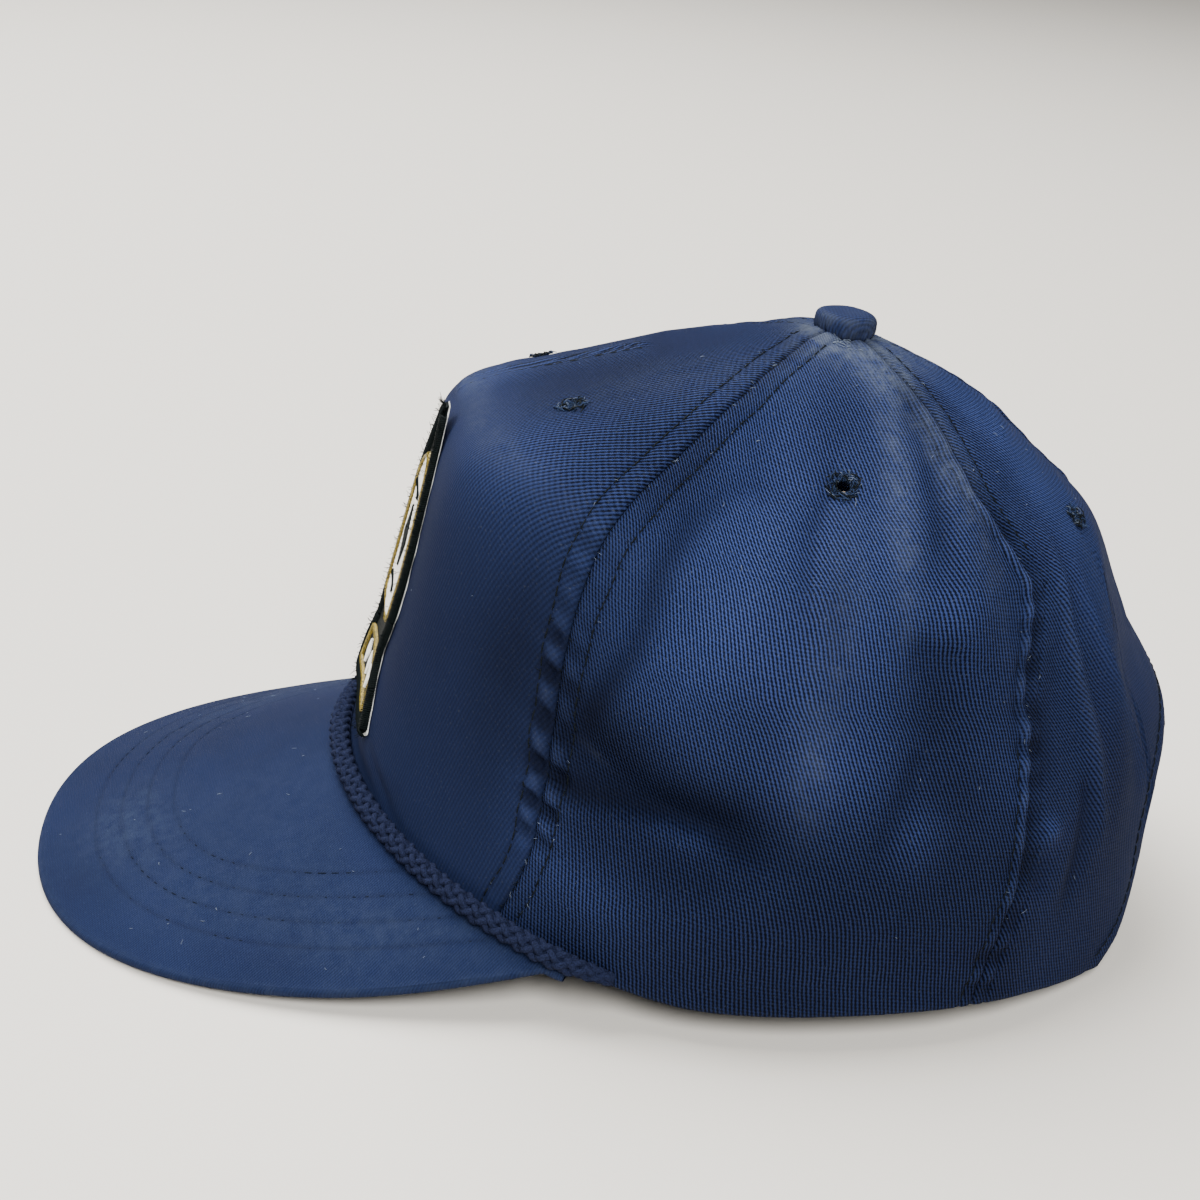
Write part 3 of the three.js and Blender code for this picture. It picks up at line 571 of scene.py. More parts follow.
def twill(name, dark, bright, worn, pitch, lean, relief, ribs):
    """Cotton twill: steep diagonal ribs of warp yarn, each a row of small floats, dull and a
    little fuzzy. Fading and dust follow the cloth; `pitch` is the ribs' spacing in millimetres
    and `ribs` is how much the ribs differ in colour."""
    material, tree, shader = fresh(name)
    cloth = add(tree, "ShaderNodeUVMap", uv_map="cloth").outputs["UV"]
    # The yarns wander by up to half a millimetre over waves of about 17 mm
    drift = add(tree, "ShaderNodeTexNoise", {"Vector": cloth, "Scale": 0.06, "Detail": 3.0, "Roughness": 0.6})
    centred = add(tree, "ShaderNodeVectorMath", {
        0: drift.outputs["Color"], 1: (0.5, 0.5, 0.5)}, operation="SUBTRACT")
    shaken = add(tree, "ShaderNodeVectorMath", {
        0: centred.outputs[0], 1: (0.9, 0.9, 0.0)}, operation="MULTIPLY")
    yarn = add(tree, "ShaderNodeVectorMath", {0: cloth, 1: shaken.outputs[0]}, operation="ADD").outputs[0]
    # Each rib is a wave across the cloth, and its floats are a weaker wave along it, stepped
    # from rib to rib
    turn = math.radians(lean)
    across = (math.cos(turn) * math.tau / pitch, -math.sin(turn) * math.tau / pitch, 0.0)
    floats = 1.18 * pitch        # the length of one float of yarn along a rib
    along = (math.sin(turn) * math.tau / floats, math.cos(turn) * math.tau / floats, 0.0)
    rib_phase = add(tree, "ShaderNodeVectorMath", {
        0: yarn, 1: across}, operation="DOT_PRODUCT").outputs["Value"]
    rib = add(tree, "ShaderNodeMath", {0: rib_phase}, operation="SINE").outputs[0]
    step = add(tree, "ShaderNodeVectorMath", {0: yarn, 1: along}, operation="DOT_PRODUCT").outputs["Value"]
    stepped = add(tree, "ShaderNodeMath", {0: rib_phase, 1: 0.5, 2: step}, operation="MULTIPLY_ADD").outputs[0]
    float_wave = add(tree, "ShaderNodeMath", {0: stepped}, operation="SINE").outputs[0]
    woven = add(tree, "ShaderNodeMath", {0: float_wave, 1: 0.38, 2: rib}, operation="MULTIPLY_ADD").outputs[0]
    # Spun fibre breaks the ribs up in lumps of half a millimetre
    fibre = add(tree, "ShaderNodeTexNoise", {"Vector": cloth, "Scale": 2.0, "Detail": 4.0, "Roughness": 0.75})
    rough = add(tree, "ShaderNodeMath", {
        0: fibre.outputs["Fac"], 1: 3.2, 2: woven}, operation="MULTIPLY_ADD").outputs[0]
    height = add(tree, "ShaderNodeMapRange", {
        "Value": rough, "From Min": 0.1, "From Max": 3.1, "To Min": 0.0, "To Max": 1.0}).outputs["Result"]
    raised = add(tree, "ShaderNodeAttribute", attribute_name="ribs").outputs["Fac"]
    share = add(tree, "ShaderNodeMath", {0: raised, 1: ribs}, operation="MULTIPLY").outputs[0]
    level = add(tree, "ShaderNodeMath", {0: height, 1: 0.5}, operation="SUBTRACT").outputs[0]
    spread = add(tree, "ShaderNodeMath", {0: level, 1: share, 2: 0.5}, operation="MULTIPLY_ADD").outputs[0]
    dyed = add(tree, "ShaderNodeMix", {0: spread, 6: linear(dark), 7: linear(bright)}, data_type="RGBA")
    # The dye has faded in patches of about 40 mm
    place = add(tree, "ShaderNodeTexCoord").outputs["Object"]
    patchy = add(tree, "ShaderNodeTexNoise", {"Vector": place, "Scale": 26.0, "Detail": 5.0, "Roughness": 0.62})
    shade = add(tree, "ShaderNodeMapRange", {
        "Value": patchy.outputs["Fac"], "From Min": 0.3, "From Max": 0.7, "To Min": 0.86, "To Max": 1.12})
    uneven = add(tree, "ShaderNodeVectorMath", {
        0: dyed.outputs[2], "Scale": shade.outputs["Result"]}, operation="SCALE")
    # Dust lies in clumps of about 4 mm, and flecks of 0.6 mm lie everywhere
    dust = add(tree, "ShaderNodeAttribute", attribute_name="dust").outputs["Fac"]
    grit = add(tree, "ShaderNodeTexNoise", {"Vector": place, "Scale": 260.0, "Detail": 7.0, "Roughness": 0.8})
    clumps = add(tree, "ShaderNodeMapRange", {
        "Value": grit.outputs["Fac"], "From Min": 0.38, "From Max": 0.62, "To Min": 0.1, "To Max": 1.1})
    specks = add(tree, "ShaderNodeTexNoise", {"Vector": cloth, "Scale": 1.7, "Detail": 2.0, "Roughness": 0.6})
    flecks = add(tree, "ShaderNodeMapRange", {
        "Value": specks.outputs["Fac"], "From Min": 0.60, "From Max": 0.74, "To Min": 0.0, "To Max": 0.55})
    dusty = add(tree, "ShaderNodeMath", {
        0: dust, 1: clumps.outputs["Result"], 2: flecks.outputs["Result"]},
        operation="MULTIPLY_ADD", use_clamp=True)
    final = add(tree, "ShaderNodeMix", {
        0: dusty.outputs[0], 6: uneven.outputs[0], 7: linear(worn)}, data_type="RGBA")
    # The shade value paints shade and light into the colour: painted shade in folds, puckers and grooves, painted
    # light on lit places
    painted_shading = add(tree, "ShaderNodeAttribute", attribute_name="shade").outputs["Fac"]
    deep = add(tree, "ShaderNodeVectorMath", {0: final.outputs[2], "Scale": painted_shading}, operation="SCALE")
    tree.links.new(deep.outputs[0], shader.inputs["Base Color"])
    depth = add(tree, "ShaderNodeMath", {0: raised, 1: relief}, operation="MULTIPLY").outputs[0]
    bump = add(tree, "ShaderNodeBump", {"Height": height, "Strength": depth, "Distance": 0.00035})
    tree.links.new(bump.outputs["Normal"], shader.inputs["Normal"])
    settle(shader, Roughness=0.78, Specular_IOR_Level=0.05)
    return material


def yarn_material(name, dark, bright, grain, roughness=0.8, metal=0.0, shine=0.1, soft=0.2):
    """Spun thread: soft and uneven in tone, with lumps of fibre `grain` millimetres across;
    `soft` is how gently its two tones meet."""
    material, tree, shader = fresh(name)
    place = add(tree, "ShaderNodeTexCoord").outputs["Object"]
    fibre = add(tree, "ShaderNodeTexNoise", {
        "Vector": place, "Scale": 1 / (grain * MM), "Detail": 4.0, "Roughness": 0.7})
    tone = add(tree, "ShaderNodeMapRange", {
        "Value": fibre.outputs["Fac"], "From Min": 0.5 - soft, "From Max": 0.5 + soft})
    mixed = add(tree, "ShaderNodeMix", {
        0: tone.outputs["Result"], 6: linear(dark), 7: linear(bright)}, data_type="RGBA")
    tree.links.new(mixed.outputs[2], shader.inputs["Base Color"])
    bump = add(tree, "ShaderNodeBump", {"Height": fibre.outputs["Fac"], "Strength": 0.5, "Distance": 0.0002})
    tree.links.new(bump.outputs["Normal"], shader.inputs["Normal"])
    settle(shader, Roughness=roughness, Metallic=metal, Specular_IOR_Level=shine)
    return material


# Cotton twill of the crown: ribs 0.8 mm apart leaning 23 degrees from the grain, as counted
crown_cloth = twill("cotton_twill", "#040714", "#242f54", "#383e4b", 0.8, -23.0, 1.0, 2.0)
# The same cloth on the brim, drawn flat over the board: ribs hardly show, and it has faded
brim_cloth = twill("cotton_twill_faded", "#0d142a", "#19223f", "#273045", 0.55, -40.0, 0.4, 0.9)
# Polyester sewing thread, darker than the cloth and gone a little green
sewing_thread = yarn_material("sewing_thread", "#030507", "#10161a", 0.35, roughness=0.65, shine=0.08)
# The same thread where it has faded and frayed, round the eyelets
faded_thread = yarn_material("sewing_thread_faded", "#0a1226", "#2b3852", 0.35, shine=0.05)
# and where it is worn matt, on the brim
brim_thread = yarn_material("sewing_thread_brim", "#04070f", "#101828", 0.35, shine=0.05)
# Loose ends of the same thread, painted pale as painted highlights where they catch the light, and lint
pale_fibre = yarn_material("lint", "#3c4759", "#747d8c", 0.5, roughness=0.9)
# Braided cotton cord, dyed navy and matt
cord_cotton = yarn_material("cotton_cord", "#03050b", "#212741", 0.3, roughness=0.88, shine=0.05)
# Rayon embroidery thread: denser colour and a soft shine
dark_rayon = yarn_material("rayon_dark_green", "#020504", "#0b1213", 0.4, roughness=0.65, shine=0.05)
white_rayon = yarn_material("rayon_white", "#cfccc2", "#f6f4ec", 0.5, roughness=0.5, shine=0.4)
# Metallised thread: film that glitters where it turns, with hard-edged bright and dark flecks in its colour as
# painted glints
gold_film = yarn_material("metallic_gold_thread", "#0f0e04", "#96801f", 0.34, roughness=0.4, metal=0.2,
                          shine=0.4, soft=0.08)
# Stiff white backing of the patch, frayed at its edge
backing_felt = yarn_material("patch_backing", "#a9aba8", "#dadbd8", 0.6, roughness=0.95)
# Tan interfacing that shows in a worn eyelet
interfacing = yarn_material("interfacing", "#8a7660", "#cbb99c", 0.4, roughness=0.95)


# Meshes

def put_in_scene(name, mesh, material, replaced=()):
    """An object for a finished mesh, riding on the frame's body."""
    mesh.shade_smooth()
    mesh.materials.clear()
    mesh.materials.append(material)
    piece = bpy.data.objects.new(name, mesh)
    bpy.context.scene.collection.objects.link(piece)
    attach(piece, "root")
    if replaced:
        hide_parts(*replaced)
    return piece


def finished(bm, name):
    mesh = bpy.data.meshes.new(name)
    bm.to_mesh(mesh)
    bm.free()
    return mesh


def vertices(mesh):
    flat = np.empty(len(mesh.vertices) * 3)
    mesh.vertices.foreach_get("co", flat)
    return flat.reshape(-1, 3)


def flat_grid(name, columns, rows):
    """A mesh of a level grid one unit wide and long, and its vertices' places."""
    bm = bmesh.new()
    bmesh.ops.create_grid(bm, x_segments=columns, y_segments=rows, size=0.5)
    mesh = finished(bm, name)
    return mesh, vertices(mesh)


def face_outwards(mesh, close=False):
    """Points a mesh's faces outwards, after its open edges are filled where `close` says so."""
    bm = bmesh.new()
    bm.from_mesh(mesh)
    if close:
        bmesh.ops.holes_fill(bm, edges=[e for e in bm.edges if e.is_boundary], sides=0)
    bmesh.ops.recalc_face_normals(bm, faces=bm.faces)
    bm.to_mesh(mesh)
    bm.free()


def set_vertices(mesh, places):
    mesh.vertices.foreach_set("co", (np.asarray(places) * MM).ravel())
    mesh.update()


def lay_cloth(mesh, pattern):
    """A UV map in millimetres of cloth, from each vertex's place on the flat pattern."""
    corners = np.empty(len(mesh.loops), int)
    mesh.loops.foreach_get("vertex_index", corners)
    layer = mesh.uv_layers.new(name="cloth")
    layer.data.foreach_set("uv", np.asarray(pattern)[corners].ravel())


def keep_values(mesh, **named):
    for name, values in named.items():
        attribute = mesh.attributes.new(name, "FLOAT", "POINT")
        attribute.data.foreach_set("value", np.asarray(values, np.float32))


def walled(mesh, name):
    """The mesh with a back wall and rims; its second half of vertices are the back's."""
    holder = bpy.data.objects.new(name, mesh)
    bpy.context.scene.collection.objects.link(holder)
    wall = holder.modifiers.new("wall", "SOLIDIFY")
    wall.thickness = 0.001       # of any size, because both faces are then placed by set_vertices
    wall.offset = -1.0
    graph = bpy.context.evaluated_depsgraph_get()
    closed = bpy.data.meshes.new_from_object(holder.evaluated_get(graph))
    bpy.data.objects.remove(holder)
    return closed


def threads(name, lines, radius, material, sides=0, taper=0.55):
    """Round threads along lines of points, as one mesh; their ends are thinner."""
    curve = bpy.data.curves.new(name, "CURVE")
    curve.dimensions = "3D"
    curve.bevel_depth = radius * MM
    curve.bevel_resolution = sides
    curve.use_fill_caps = True
    for line in lines:
        spline = curve.splines.new("POLY")
        spline.points.add(len(line) - 1)
        spline.points.foreach_set("co", np.column_stack([np.asarray(line) * MM, np.ones(len(line))]).ravel())
        thickness = np.ones(len(line))
        thickness[[0, -1]] = taper
        spline.points.foreach_set("radius", thickness)
    holder = bpy.data.objects.new(name, curve)
    mesh = bpy.data.meshes.new_from_object(holder)
    bpy.data.objects.remove(holder)
    mesh.name = name
    return put_in_scene(name, mesh, material)


def run_along(line):
    """Distances along a line to each of its points."""
    return np.concatenate([[0.0], np.cumsum(np.linalg.norm(np.diff(line, axis=0), axis=1))])


def read_line(line, run, s):
    """The line's places at distances s, where `run` gives its points' own distances."""
    return np.stack([np.interp(s, run, line[:, i]) for i in range(line.shape[1])], axis=-1)


def right_of(line):
    """Unit steps to the right of a flat line's way, at its points."""
    way = unit(np.gradient(line, axis=0))
    return np.stack([way[:, 1], -way[:, 0]], axis=-1)


def dome(k):
    """Half a circle's height over k from -1 to 1."""
    return np.sqrt(np.clip(1 - k ** 2, 0, 1))


def crowded(t, share):
    """Moves even steps towards both ends."""
    return t - share * np.sin(math.tau * t) / math.tau


def crowded_foot(t, share, power):
    """Moves even steps towards the start."""
    run = t - share / power * (1 - (1 - t) ** power)
    return run / (1 - share / power)


# Panels

def arch_line():
    """The arch opening's edge on the wearer's left, seen from behind: across and height."""
    t = np.linspace(0, 1, 60)[:, None]
    foot = np.array([ARCH["foot_half"], ARCH["foot_height"]])
    waist = np.array([ARCH["waist_half"], ARCH["waist_height"]])
    bend = np.array([ARCH["waist_half"], (ARCH["foot_height"] + ARCH["waist_height"]) / 2])
    low = (1 - t) ** 2 * foot + 2 * t * (1 - t) * bend + t * t * waist
    shoulder = np.array([ARCH["waist_half"], ARCH["top"] - ARCH["shoulder"]])
    eased = np.array([ARCH["waist_half"] - ARCH["shoulder"], ARCH["top"]])
    top = np.array([0.0, ARCH["top"]])
    high = (1 - t) ** 3 * waist + 3 * t * (1 - t) ** 2 * shoulder + 3 * t * t * (1 - t) * eased + t ** 3 * top
    return np.vstack([low, high[1:]])


ARCH_LINE = arch_line()


def arch_foot(azimuths):
    """How far up the crown the arch opening reaches at azimuths behind."""
    order = np.argsort(ARCH_LINE[:, 0])
    found = []
    for azimuth in azimuths:
        place = read_off(PLACE, np.full(len(UPS), azimuth), UPS)
        edge = np.interp(np.abs(place[:, 0]), ARCH_LINE[order, 0], ARCH_LINE[order, 1], right=-50.0)
        above = place[:, 2] - edge
        inside = np.nonzero((above < 0) & (UPS < 0.7))[0]
        if len(inside) == 0:
            found.append(0.0)
        else:
            i = inside[-1]
            k = above[i] / (above[i] - above[i + 1])
            found.append(UPS[i] + k * (UPS[i + 1] - UPS[i]))
    return np.array(found)


FOOT_TURNS = np.linspace(100, 180, 321)
FOOT_UPS = arch_foot(FOOT_TURNS)


def arch_distance(place):
    """Millimetres from places on the back to the arch opening's edge."""
    seen = np.stack([np.abs(place[:, 0]), place[:, 2]], axis=-1)
    return np.min(np.linalg.norm(seen[:, None, :] - ARCH_LINE[None, ::2, :], axis=-1), axis=1)


PANEL_ROWS = 170
# A panel's rolled edge: how deep and how wide its rounding is
ROLLED = {"deep": 0.95, "wide": 1.3}
# The front's cloth is cut on the slant, and its ribs are drawn a little finer
FRONT_WEAVE = {"turn": 31, "finer": 1.08}
BACK_FACE_SHIFT = 40.0           # of the pattern, so that inside and outside aren't one print


def make_panel(name, columns, start, end, grain):
    """One cloth panel between the azimuths start(up) and end(up); grain(up) is the azimuth of
    the middle of its pattern. It is shaped flat in azimuth and height, and then raised."""
    bm = bmesh.new()
    bmesh.ops.create_grid(bm, x_segments=columns, y_segments=PANEL_ROWS, size=0.5)
    flat = np.array([v.co for v in bm.verts])
    across = crowded(flat[:, 0] + 0.5, 0.72)
    high = crowded_foot(flat[:, 1] + 0.5, 0.75, 40)
    open_back = name.startswith("back")
    up = high * PANEL_TOP
    for _ in range(6 if open_back else 1):
        trim = np.degrees(SEWN_GAP / 2 / read_off(RADIUS, start(up), up))
        azimuth = lerp(start(up) + trim, end(up) - trim, across)
        foot = np.interp(np.abs(azimuth), FOOT_TURNS, FOOT_UPS) if open_back else 0.0
        up = lerp(foot, PANEL_TOP, high)
    for v, a, u in zip(bm.verts, azimuth, up):
        v.co = (a, u * 100, 0)

    def from_eyelet(v, eyelet):
        r = float(read_off(RADIUS, eyelet["azimuth"], eyelet["up"]))
        return Vector((math.radians(v.co.x - eyelet["azimuth"]) * r, (v.co.y / 100 - eyelet["up"]) * RISE))

    for eyelet in [e for e in EYELETS if e["panel"] == name]:
        near = {v for v in bm.verts if from_eyelet(v, eyelet).length < 5}
        edges = [e for e in bm.edges if e.verts[0] in near and e.verts[1] in near]
        bmesh.ops.subdivide_edges(bm, edges=edges, cuts=2, use_grid_fill=True)
        gone = [v for v in bm.verts if from_eyelet(v, eyelet).length < eyelet["hole"]]
        bmesh.ops.delete(bm, geom=gone, context="VERTS")
        r = float(read_off(RADIUS, eyelet["azimuth"], eyelet["up"]))
        for v in [v for v in bm.verts if v.is_boundary and from_eyelet(v, eyelet).length < eyelet["hole"] + 2]:
            ray = from_eyelet(v, eyelet).normalized() * eyelet["hole"]
            v.co.x = eyelet["azimuth"] + math.degrees(ray.x / r)
            v.co.y = (eyelet["up"] + ray.y / RISE) * 100
    bmesh.ops.recalc_face_normals(bm, faces=bm.faces)
    bm.normal_update()
    if bm.faces[0].normal.z < 0:
        bmesh.ops.reverse_faces(bm, faces=bm.faces)
    mesh = finished(bm, name)
    flat = vertices(mesh)
    azimuth, up = flat[:, 0], flat[:, 1] / 100
    mesh = walled(mesh, name)

    place, normal = read_off(PLACE, azimuth, up), read_off(NORMAL, azimuth, up)
    r = read_off(RADIUS, azimuth, up)
    hem = up * RISE
    if open_back:
        hem = np.where(up < 0.02, hem, 99.0)
        hem = np.minimum(hem, arch_distance(place))
    rounding = ROLLED["deep"] * (1 - dome(np.clip(1 - hem / ROLLED["wide"], 0, 1)))
    depth = cloth_depth(azimuth, up)
    if open_back:
        # The folded hem of the opening stands out a little, up to its stitch row's groove
        away = arch_distance(place)
        depth = depth + 0.18 * bell((away - ARCH_HEM) / 0.8) - 0.3 * ease((3.2 - away) / 2)
    # With their depth, the folds' painted shade
    bent, dark = pleats(azimuth, up)
    folds = marks(FOLDS, azimuth, up)
    big = folds + bent
    inner = CLOTH + big + 0.45 * (depth - big)       # the inside is smoother than the outside
    face = place - normal * (depth + rounding)[:, None]
    back = place - normal * (inner - rounding)[:, None]
    set_vertices(mesh, np.vstack([face, back]))

    pattern = np.column_stack([np.radians(azimuth - grain(up)) * r, up * RISE])
    if name == "front_panel":
        turn = math.radians(FRONT_WEAVE["turn"])
        turned = np.array([(math.cos(turn), math.sin(turn)), (-math.sin(turn), math.cos(turn))])
        pattern = FRONT_WEAVE["finer"] * pattern @ turned
    lay_cloth(mesh, np.vstack([pattern, pattern + BACK_FACE_SHIFT]))
    # Dust lies in its places, on what the sewing raises and along the hems
    sewing = sewing_depth(azimuth, up)
    dust = marks(DUST, azimuth, up) + 0.16 * np.clip(-sewing, 0, 1) + 0.12 * bell((hem - 0.8) / 0.9)
    dust = np.clip(dust, 0, 1)
    # Painted shade and painted light: the crown is darker towards its rim, in the folds and in the puckers' valleys
    # beside the sewing, and paler on the puckers' ridges and high up the side panels
    side_panel = ease((np.abs(azimuth) - 43) / 8) * ease((120 - np.abs(azimuth)) / 8)
    shade = lerp(lerp(0.68, 1.08, ease((up - 0.12) / 0.45)), lerp(0.64, 1.30, ease((up - 0.17) / 0.2)), side_panel)
    shade = shade * (1 - 0.5 * np.clip(sewing / 1.1, 0, 1) + 0.5 * np.clip(-sewing, 0, 1)) \
        * (1 - 0.12 * np.clip(folds / 5, 0, 1))
    # Painted shade and painted light in places, from the table's marks and from the folds
    toned = shade * (1 + marks(PAINTED_LIGHT_AND_SHADE, np.abs(azimuth), up)) * (1 - np.clip(dark, -0.3, 0.75))
    shade = np.maximum(toned, 0.08)
    # The ribs show most high up, hardly where the patch and hands have rubbed the front flat,
    # and less where dust fills them or the folds' painted shade darkens them
    smooth_front = ease((0.64 - up) / 0.26) if name == "front_panel" else 0.0
    ribs = lerp(lerp(0.7, 1.6, ease((up - 0.5) / 0.15)), 1.2, side_panel) * (1 - 0.78 * smooth_front) \
        * (1 - 0.6 * dust) * (1 - 0.6 * np.clip(dark * 1.5, 0, 1))
    ribs = ribs * (1 - 0.6 * ease((np.abs(azimuth) - 134) / 12))
    keep_values(mesh, dust=np.tile(dust, 2), shade=np.tile(shade, 2), ribs=np.tile(ribs, 2))
    return put_in_scene(name + "_cloth", mesh, crown_cloth, [name])


def make_panels():
    front = lambda up: seam_azimuth(FRONT_SEAM, up)
    behind = lambda up: seam_azimuth(BACK_SEAM, up)
    middle = lambda up: np.full_like(up, 180.0)
    make_panel("front_panel", 150, lambda up: -front(up), front, lambda up: 0.0 * up)
    for side, word in ((1, "left"), (-1, "right")):
        for name, near, far, columns in (("side_panel_", front, behind, 124), ("back_panel_", behind, middle, 104)):
            one = lambda up, side=side, near=near: side * near(up)
            two = lambda up, side=side, far=far: side * far(up)
            start, end = (one, two) if side > 0 else (two, one)
            grain = lambda up, near=near, far=far, side=side: side * (near(up) + far(up)) / 2
            make_panel(name + word, columns, start, end, grain)


# Stitching

def stitches(surface, sunk, pitch=3.0, gap=0.25, seed=3):
    """Stitch lines along a path that lies on a cloth; each dives into it at both ends.
    `surface` is the path, `sunk` the same path below the face, and `gap` is between stitches."""
    run = run_along(surface)
    dice = random.Random(seed)
    dive = np.array([1.0, 0.25, 0.0, 0.25, 1.0])[:, None]
    lines = []
    for start in np.arange(0.0, run[-1] - pitch, pitch):
        s = start + np.array([0.0, 0.12, 0.5, 0.88, 1.0]) * (pitch - gap) + dice.uniform(-0.12, 0.12)
        lines.append(lerp(read_line(surface, run, s), read_line(sunk, run, s), dive))
    return lines


def sewn(azimuth, up, seed, proud=0.10, dive=0.42):
    """A stitch row on the crown, along places in azimuth and way up."""
    return stitches(on_crown(azimuth, up, proud), on_crown(azimuth, up, -dive), seed=seed)


ROW_ENDS = (0.012, 0.945)        # ways up at which the crown's stitch rows begin and end
SEWING_RADIUS = 0.17             # of the sewing thread
FUZZ_RADIUS = 0.06               # of its frayed ends and of lint, drawn thick enough to show
FRAYS = {"dark": 350, "pale": 70}
ALONG = np.linspace(0, 1, 5)     # steps along a loose end


def crown_stitches():
    lines = []
    low_end, high_end = ROW_ENDS
    for seam in SEAMS:
        for side in (1, -1):
            for row in (-seam["rows"][0], seam["rows"][1]):
                centre = seam["line"] is CENTRE_BACK
                if centre and row > 0:
                    continue             # the other side's row lies there
                low, high = 0.33 if centre else low_end, high_end
                if seam["line"] is BACK_SEAM:
                    # Its rows have sunk in between, where the allowance stands up
                    low, high = (low_end, 0.36) if row < 0 else (0.60, high_end)
                up = np.linspace(low, high, 420)
                azimuth = seam_azimuth(seam["line"], up)
                azimuth = side * (azimuth + np.degrees(row / read_off(RADIUS, azimuth, up)))
                azimuth = azimuth + 0.12 * np.sin(up * 61 + row)
                if centre:
                    up = lerp(float(FOOT_UPS[-1]) + low_end, high_end, (up - low) / (high_end - low))
                lines += sewn(azimuth, up, int(50 + row * 3 + side))
    for row in (-DART_ROWS, DART_ROWS):
        up = np.linspace(0.495, 0.745, 160)
        lines += sewn(seam_azimuth(DART, up) + np.degrees(row / read_off(RADIUS, 0 * up, up)), up, 7)
    for side in (1, -1):
        line = ARCH_LINE + ARCH_HEM * right_of(ARCH_LINE)
        line = line[(line[:, 0] > 0.8) & (line[:, 1] > 6)]
        azimuth, up = crown_place(side * line[:, 0], line[:, 1])
        lines += sewn(azimuth, up, 11 + side, 0.12, 0.4)
    threads("seam_stitches", lines, SEWING_RADIUS, sewing_thread)
    dice = random.Random(17)
    frays = []
    for _ in range(FRAYS["dark"] + FRAYS["pale"]):
        seam = SEAMS[0] if dice.random() < 0.7 else SEAMS[1]
        up = dice.uniform(0.02, 0.93)
        side = 1 if dice.random() < 0.7 else -1
        row = dice.choice([0.0, 0.0, -seam["rows"][0], seam["rows"][1]]) + dice.uniform(-0.3, 0.3)
        curl, rise = dice.uniform(-1.0, 1.0), dice.uniform(-1.1, 1.1)
        ups = up + ALONG * rise / RISE
        azimuth = seam_azimuth(seam["line"], ups)
        azimuth = side * (azimuth + np.degrees((row + curl * ALONG ** 2) / read_off(RADIUS, azimuth, ups)))
        frays.append(on_crown(azimuth, ups, 0.25 * np.sin(np.pi * ALONG) * dice.uniform(0.4, 1.6) + 0.05))
    threads("seam_frays", frays[:FRAYS["dark"]], FUZZ_RADIUS, sewing_thread)
    # Pale frays: loose ends of the dark thread painted pale, as painted highlights
    threads("seam_frays_pale", frays[FRAYS["dark"]:], 0.045, pale_fibre)


def crown_place(x, z):
    """Azimuth and way up of places on the crown's back, from across and height."""
    azimuth = np.sign(x) * (180 - np.degrees(np.arctan2(np.abs(x), 85.0)))
    up = np.asarray(z) / RISE
    for _ in range(30):
        place = read_off(PLACE, azimuth, up)
        up = np.clip(up + (z - place[..., 2]) / RISE * 0.8, 0.0, 0.99)
        r = np.hypot(place[..., 0], place[..., 1] - AXIS_Y)
        azimuth = azimuth - np.degrees((x - place[..., 0]) / np.maximum(r, 20.0)) * 0.8
        azimuth = np.clip(azimuth, -180, 180)
    return azimuth, up


# Eyelets

# Of each eyelet: its threads, the share that is torn away, its loose ends and how many of them
# are long, and the hole's radius past which its lining shows
WHIPPING = {"threads": 64, "torn": 0.12, "loose": 70, "long": 6, "gaping": 1.2}


def make_eyelets():
    """Whipped eyelets: thread over the edge of each hole, partly torn, with loose ends."""
    dice = random.Random(21)
    dark, faded, fuzz, pale = [], [], [], []
    for eyelet in EYELETS:
        r = float(read_off(RADIUS, eyelet["azimuth"], eyelet["up"]))

        def around(turn, away, lift):
            turn, away = np.asarray(turn, float), np.asarray(away, float)
            azimuth = eyelet["azimuth"] + np.degrees(away * np.cos(turn) / r)
            return on_crown(azimuth, eyelet["up"] + away * np.sin(turn) / RISE, lift)

        for i in range(WHIPPING["threads"]):
            turn = math.tau * i / WHIPPING["threads"] + dice.uniform(-0.05, 0.05)
            if dice.random() < WHIPPING["torn"]:
                continue
            ring, hole = eyelet["ring"] + dice.uniform(-0.5, 0.6), eyelet["hole"]
            away = np.array([ring, ring - 0.25, (ring + hole) / 2, hole - 0.1, hole - 0.15])
            twist = turn + np.array([0, 0, 0.04, 0.1, 0.12]) * dice.uniform(-2, 2)
            line = np.stack([around(*place) for place in zip(twist, away, (-0.3, 0.15, 0.3, 0.0, -1.0))])
            (faded if i % 3 else dark).append(line)
        for i in range(WHIPPING["loose"]):
            turn = dice.uniform(0, math.tau)
            start = dice.uniform(eyelet["hole"] * 0.8, eyelet["ring"] + 0.6)
            reach = dice.uniform(0.5, 1.4) * (2.0 if i < WHIPPING["long"] else 1.0)
            bend = dice.uniform(-1.2, 1.2)
            lift = dice.uniform(0.2, 0.8)
            line = np.stack([around(turn + bend * k, start + reach * k, 0.15 + lift * math.sin(math.pi * k))
                             for k in ALONG])
            (dark, faded, dark, faded, fuzz)[i % 5].append(line)
        if eyelet["hole"] > WHIPPING["gaping"]:
            # The interfacing shows under the upper edge of a hole that has torn open
            for _ in range(9):
                turn = dice.uniform(3.9, 5.0)
                pale.append(np.stack([around(turn + 0.3 * k, eyelet["hole"] * (0.95 - 0.5 * k), -0.4 - 0.9 * k)
                                      for k in ALONG]))
    threads("eyelet_stitches", dark, 0.14, sewing_thread)
    threads("eyelet_stitches_faded", faded, 0.13, faded_thread)
    threads("eyelet_fuzz", fuzz, 0.05, pale_fibre)
    threads("eyelet_lining_threads", pale, 0.12, interfacing)


# The brim

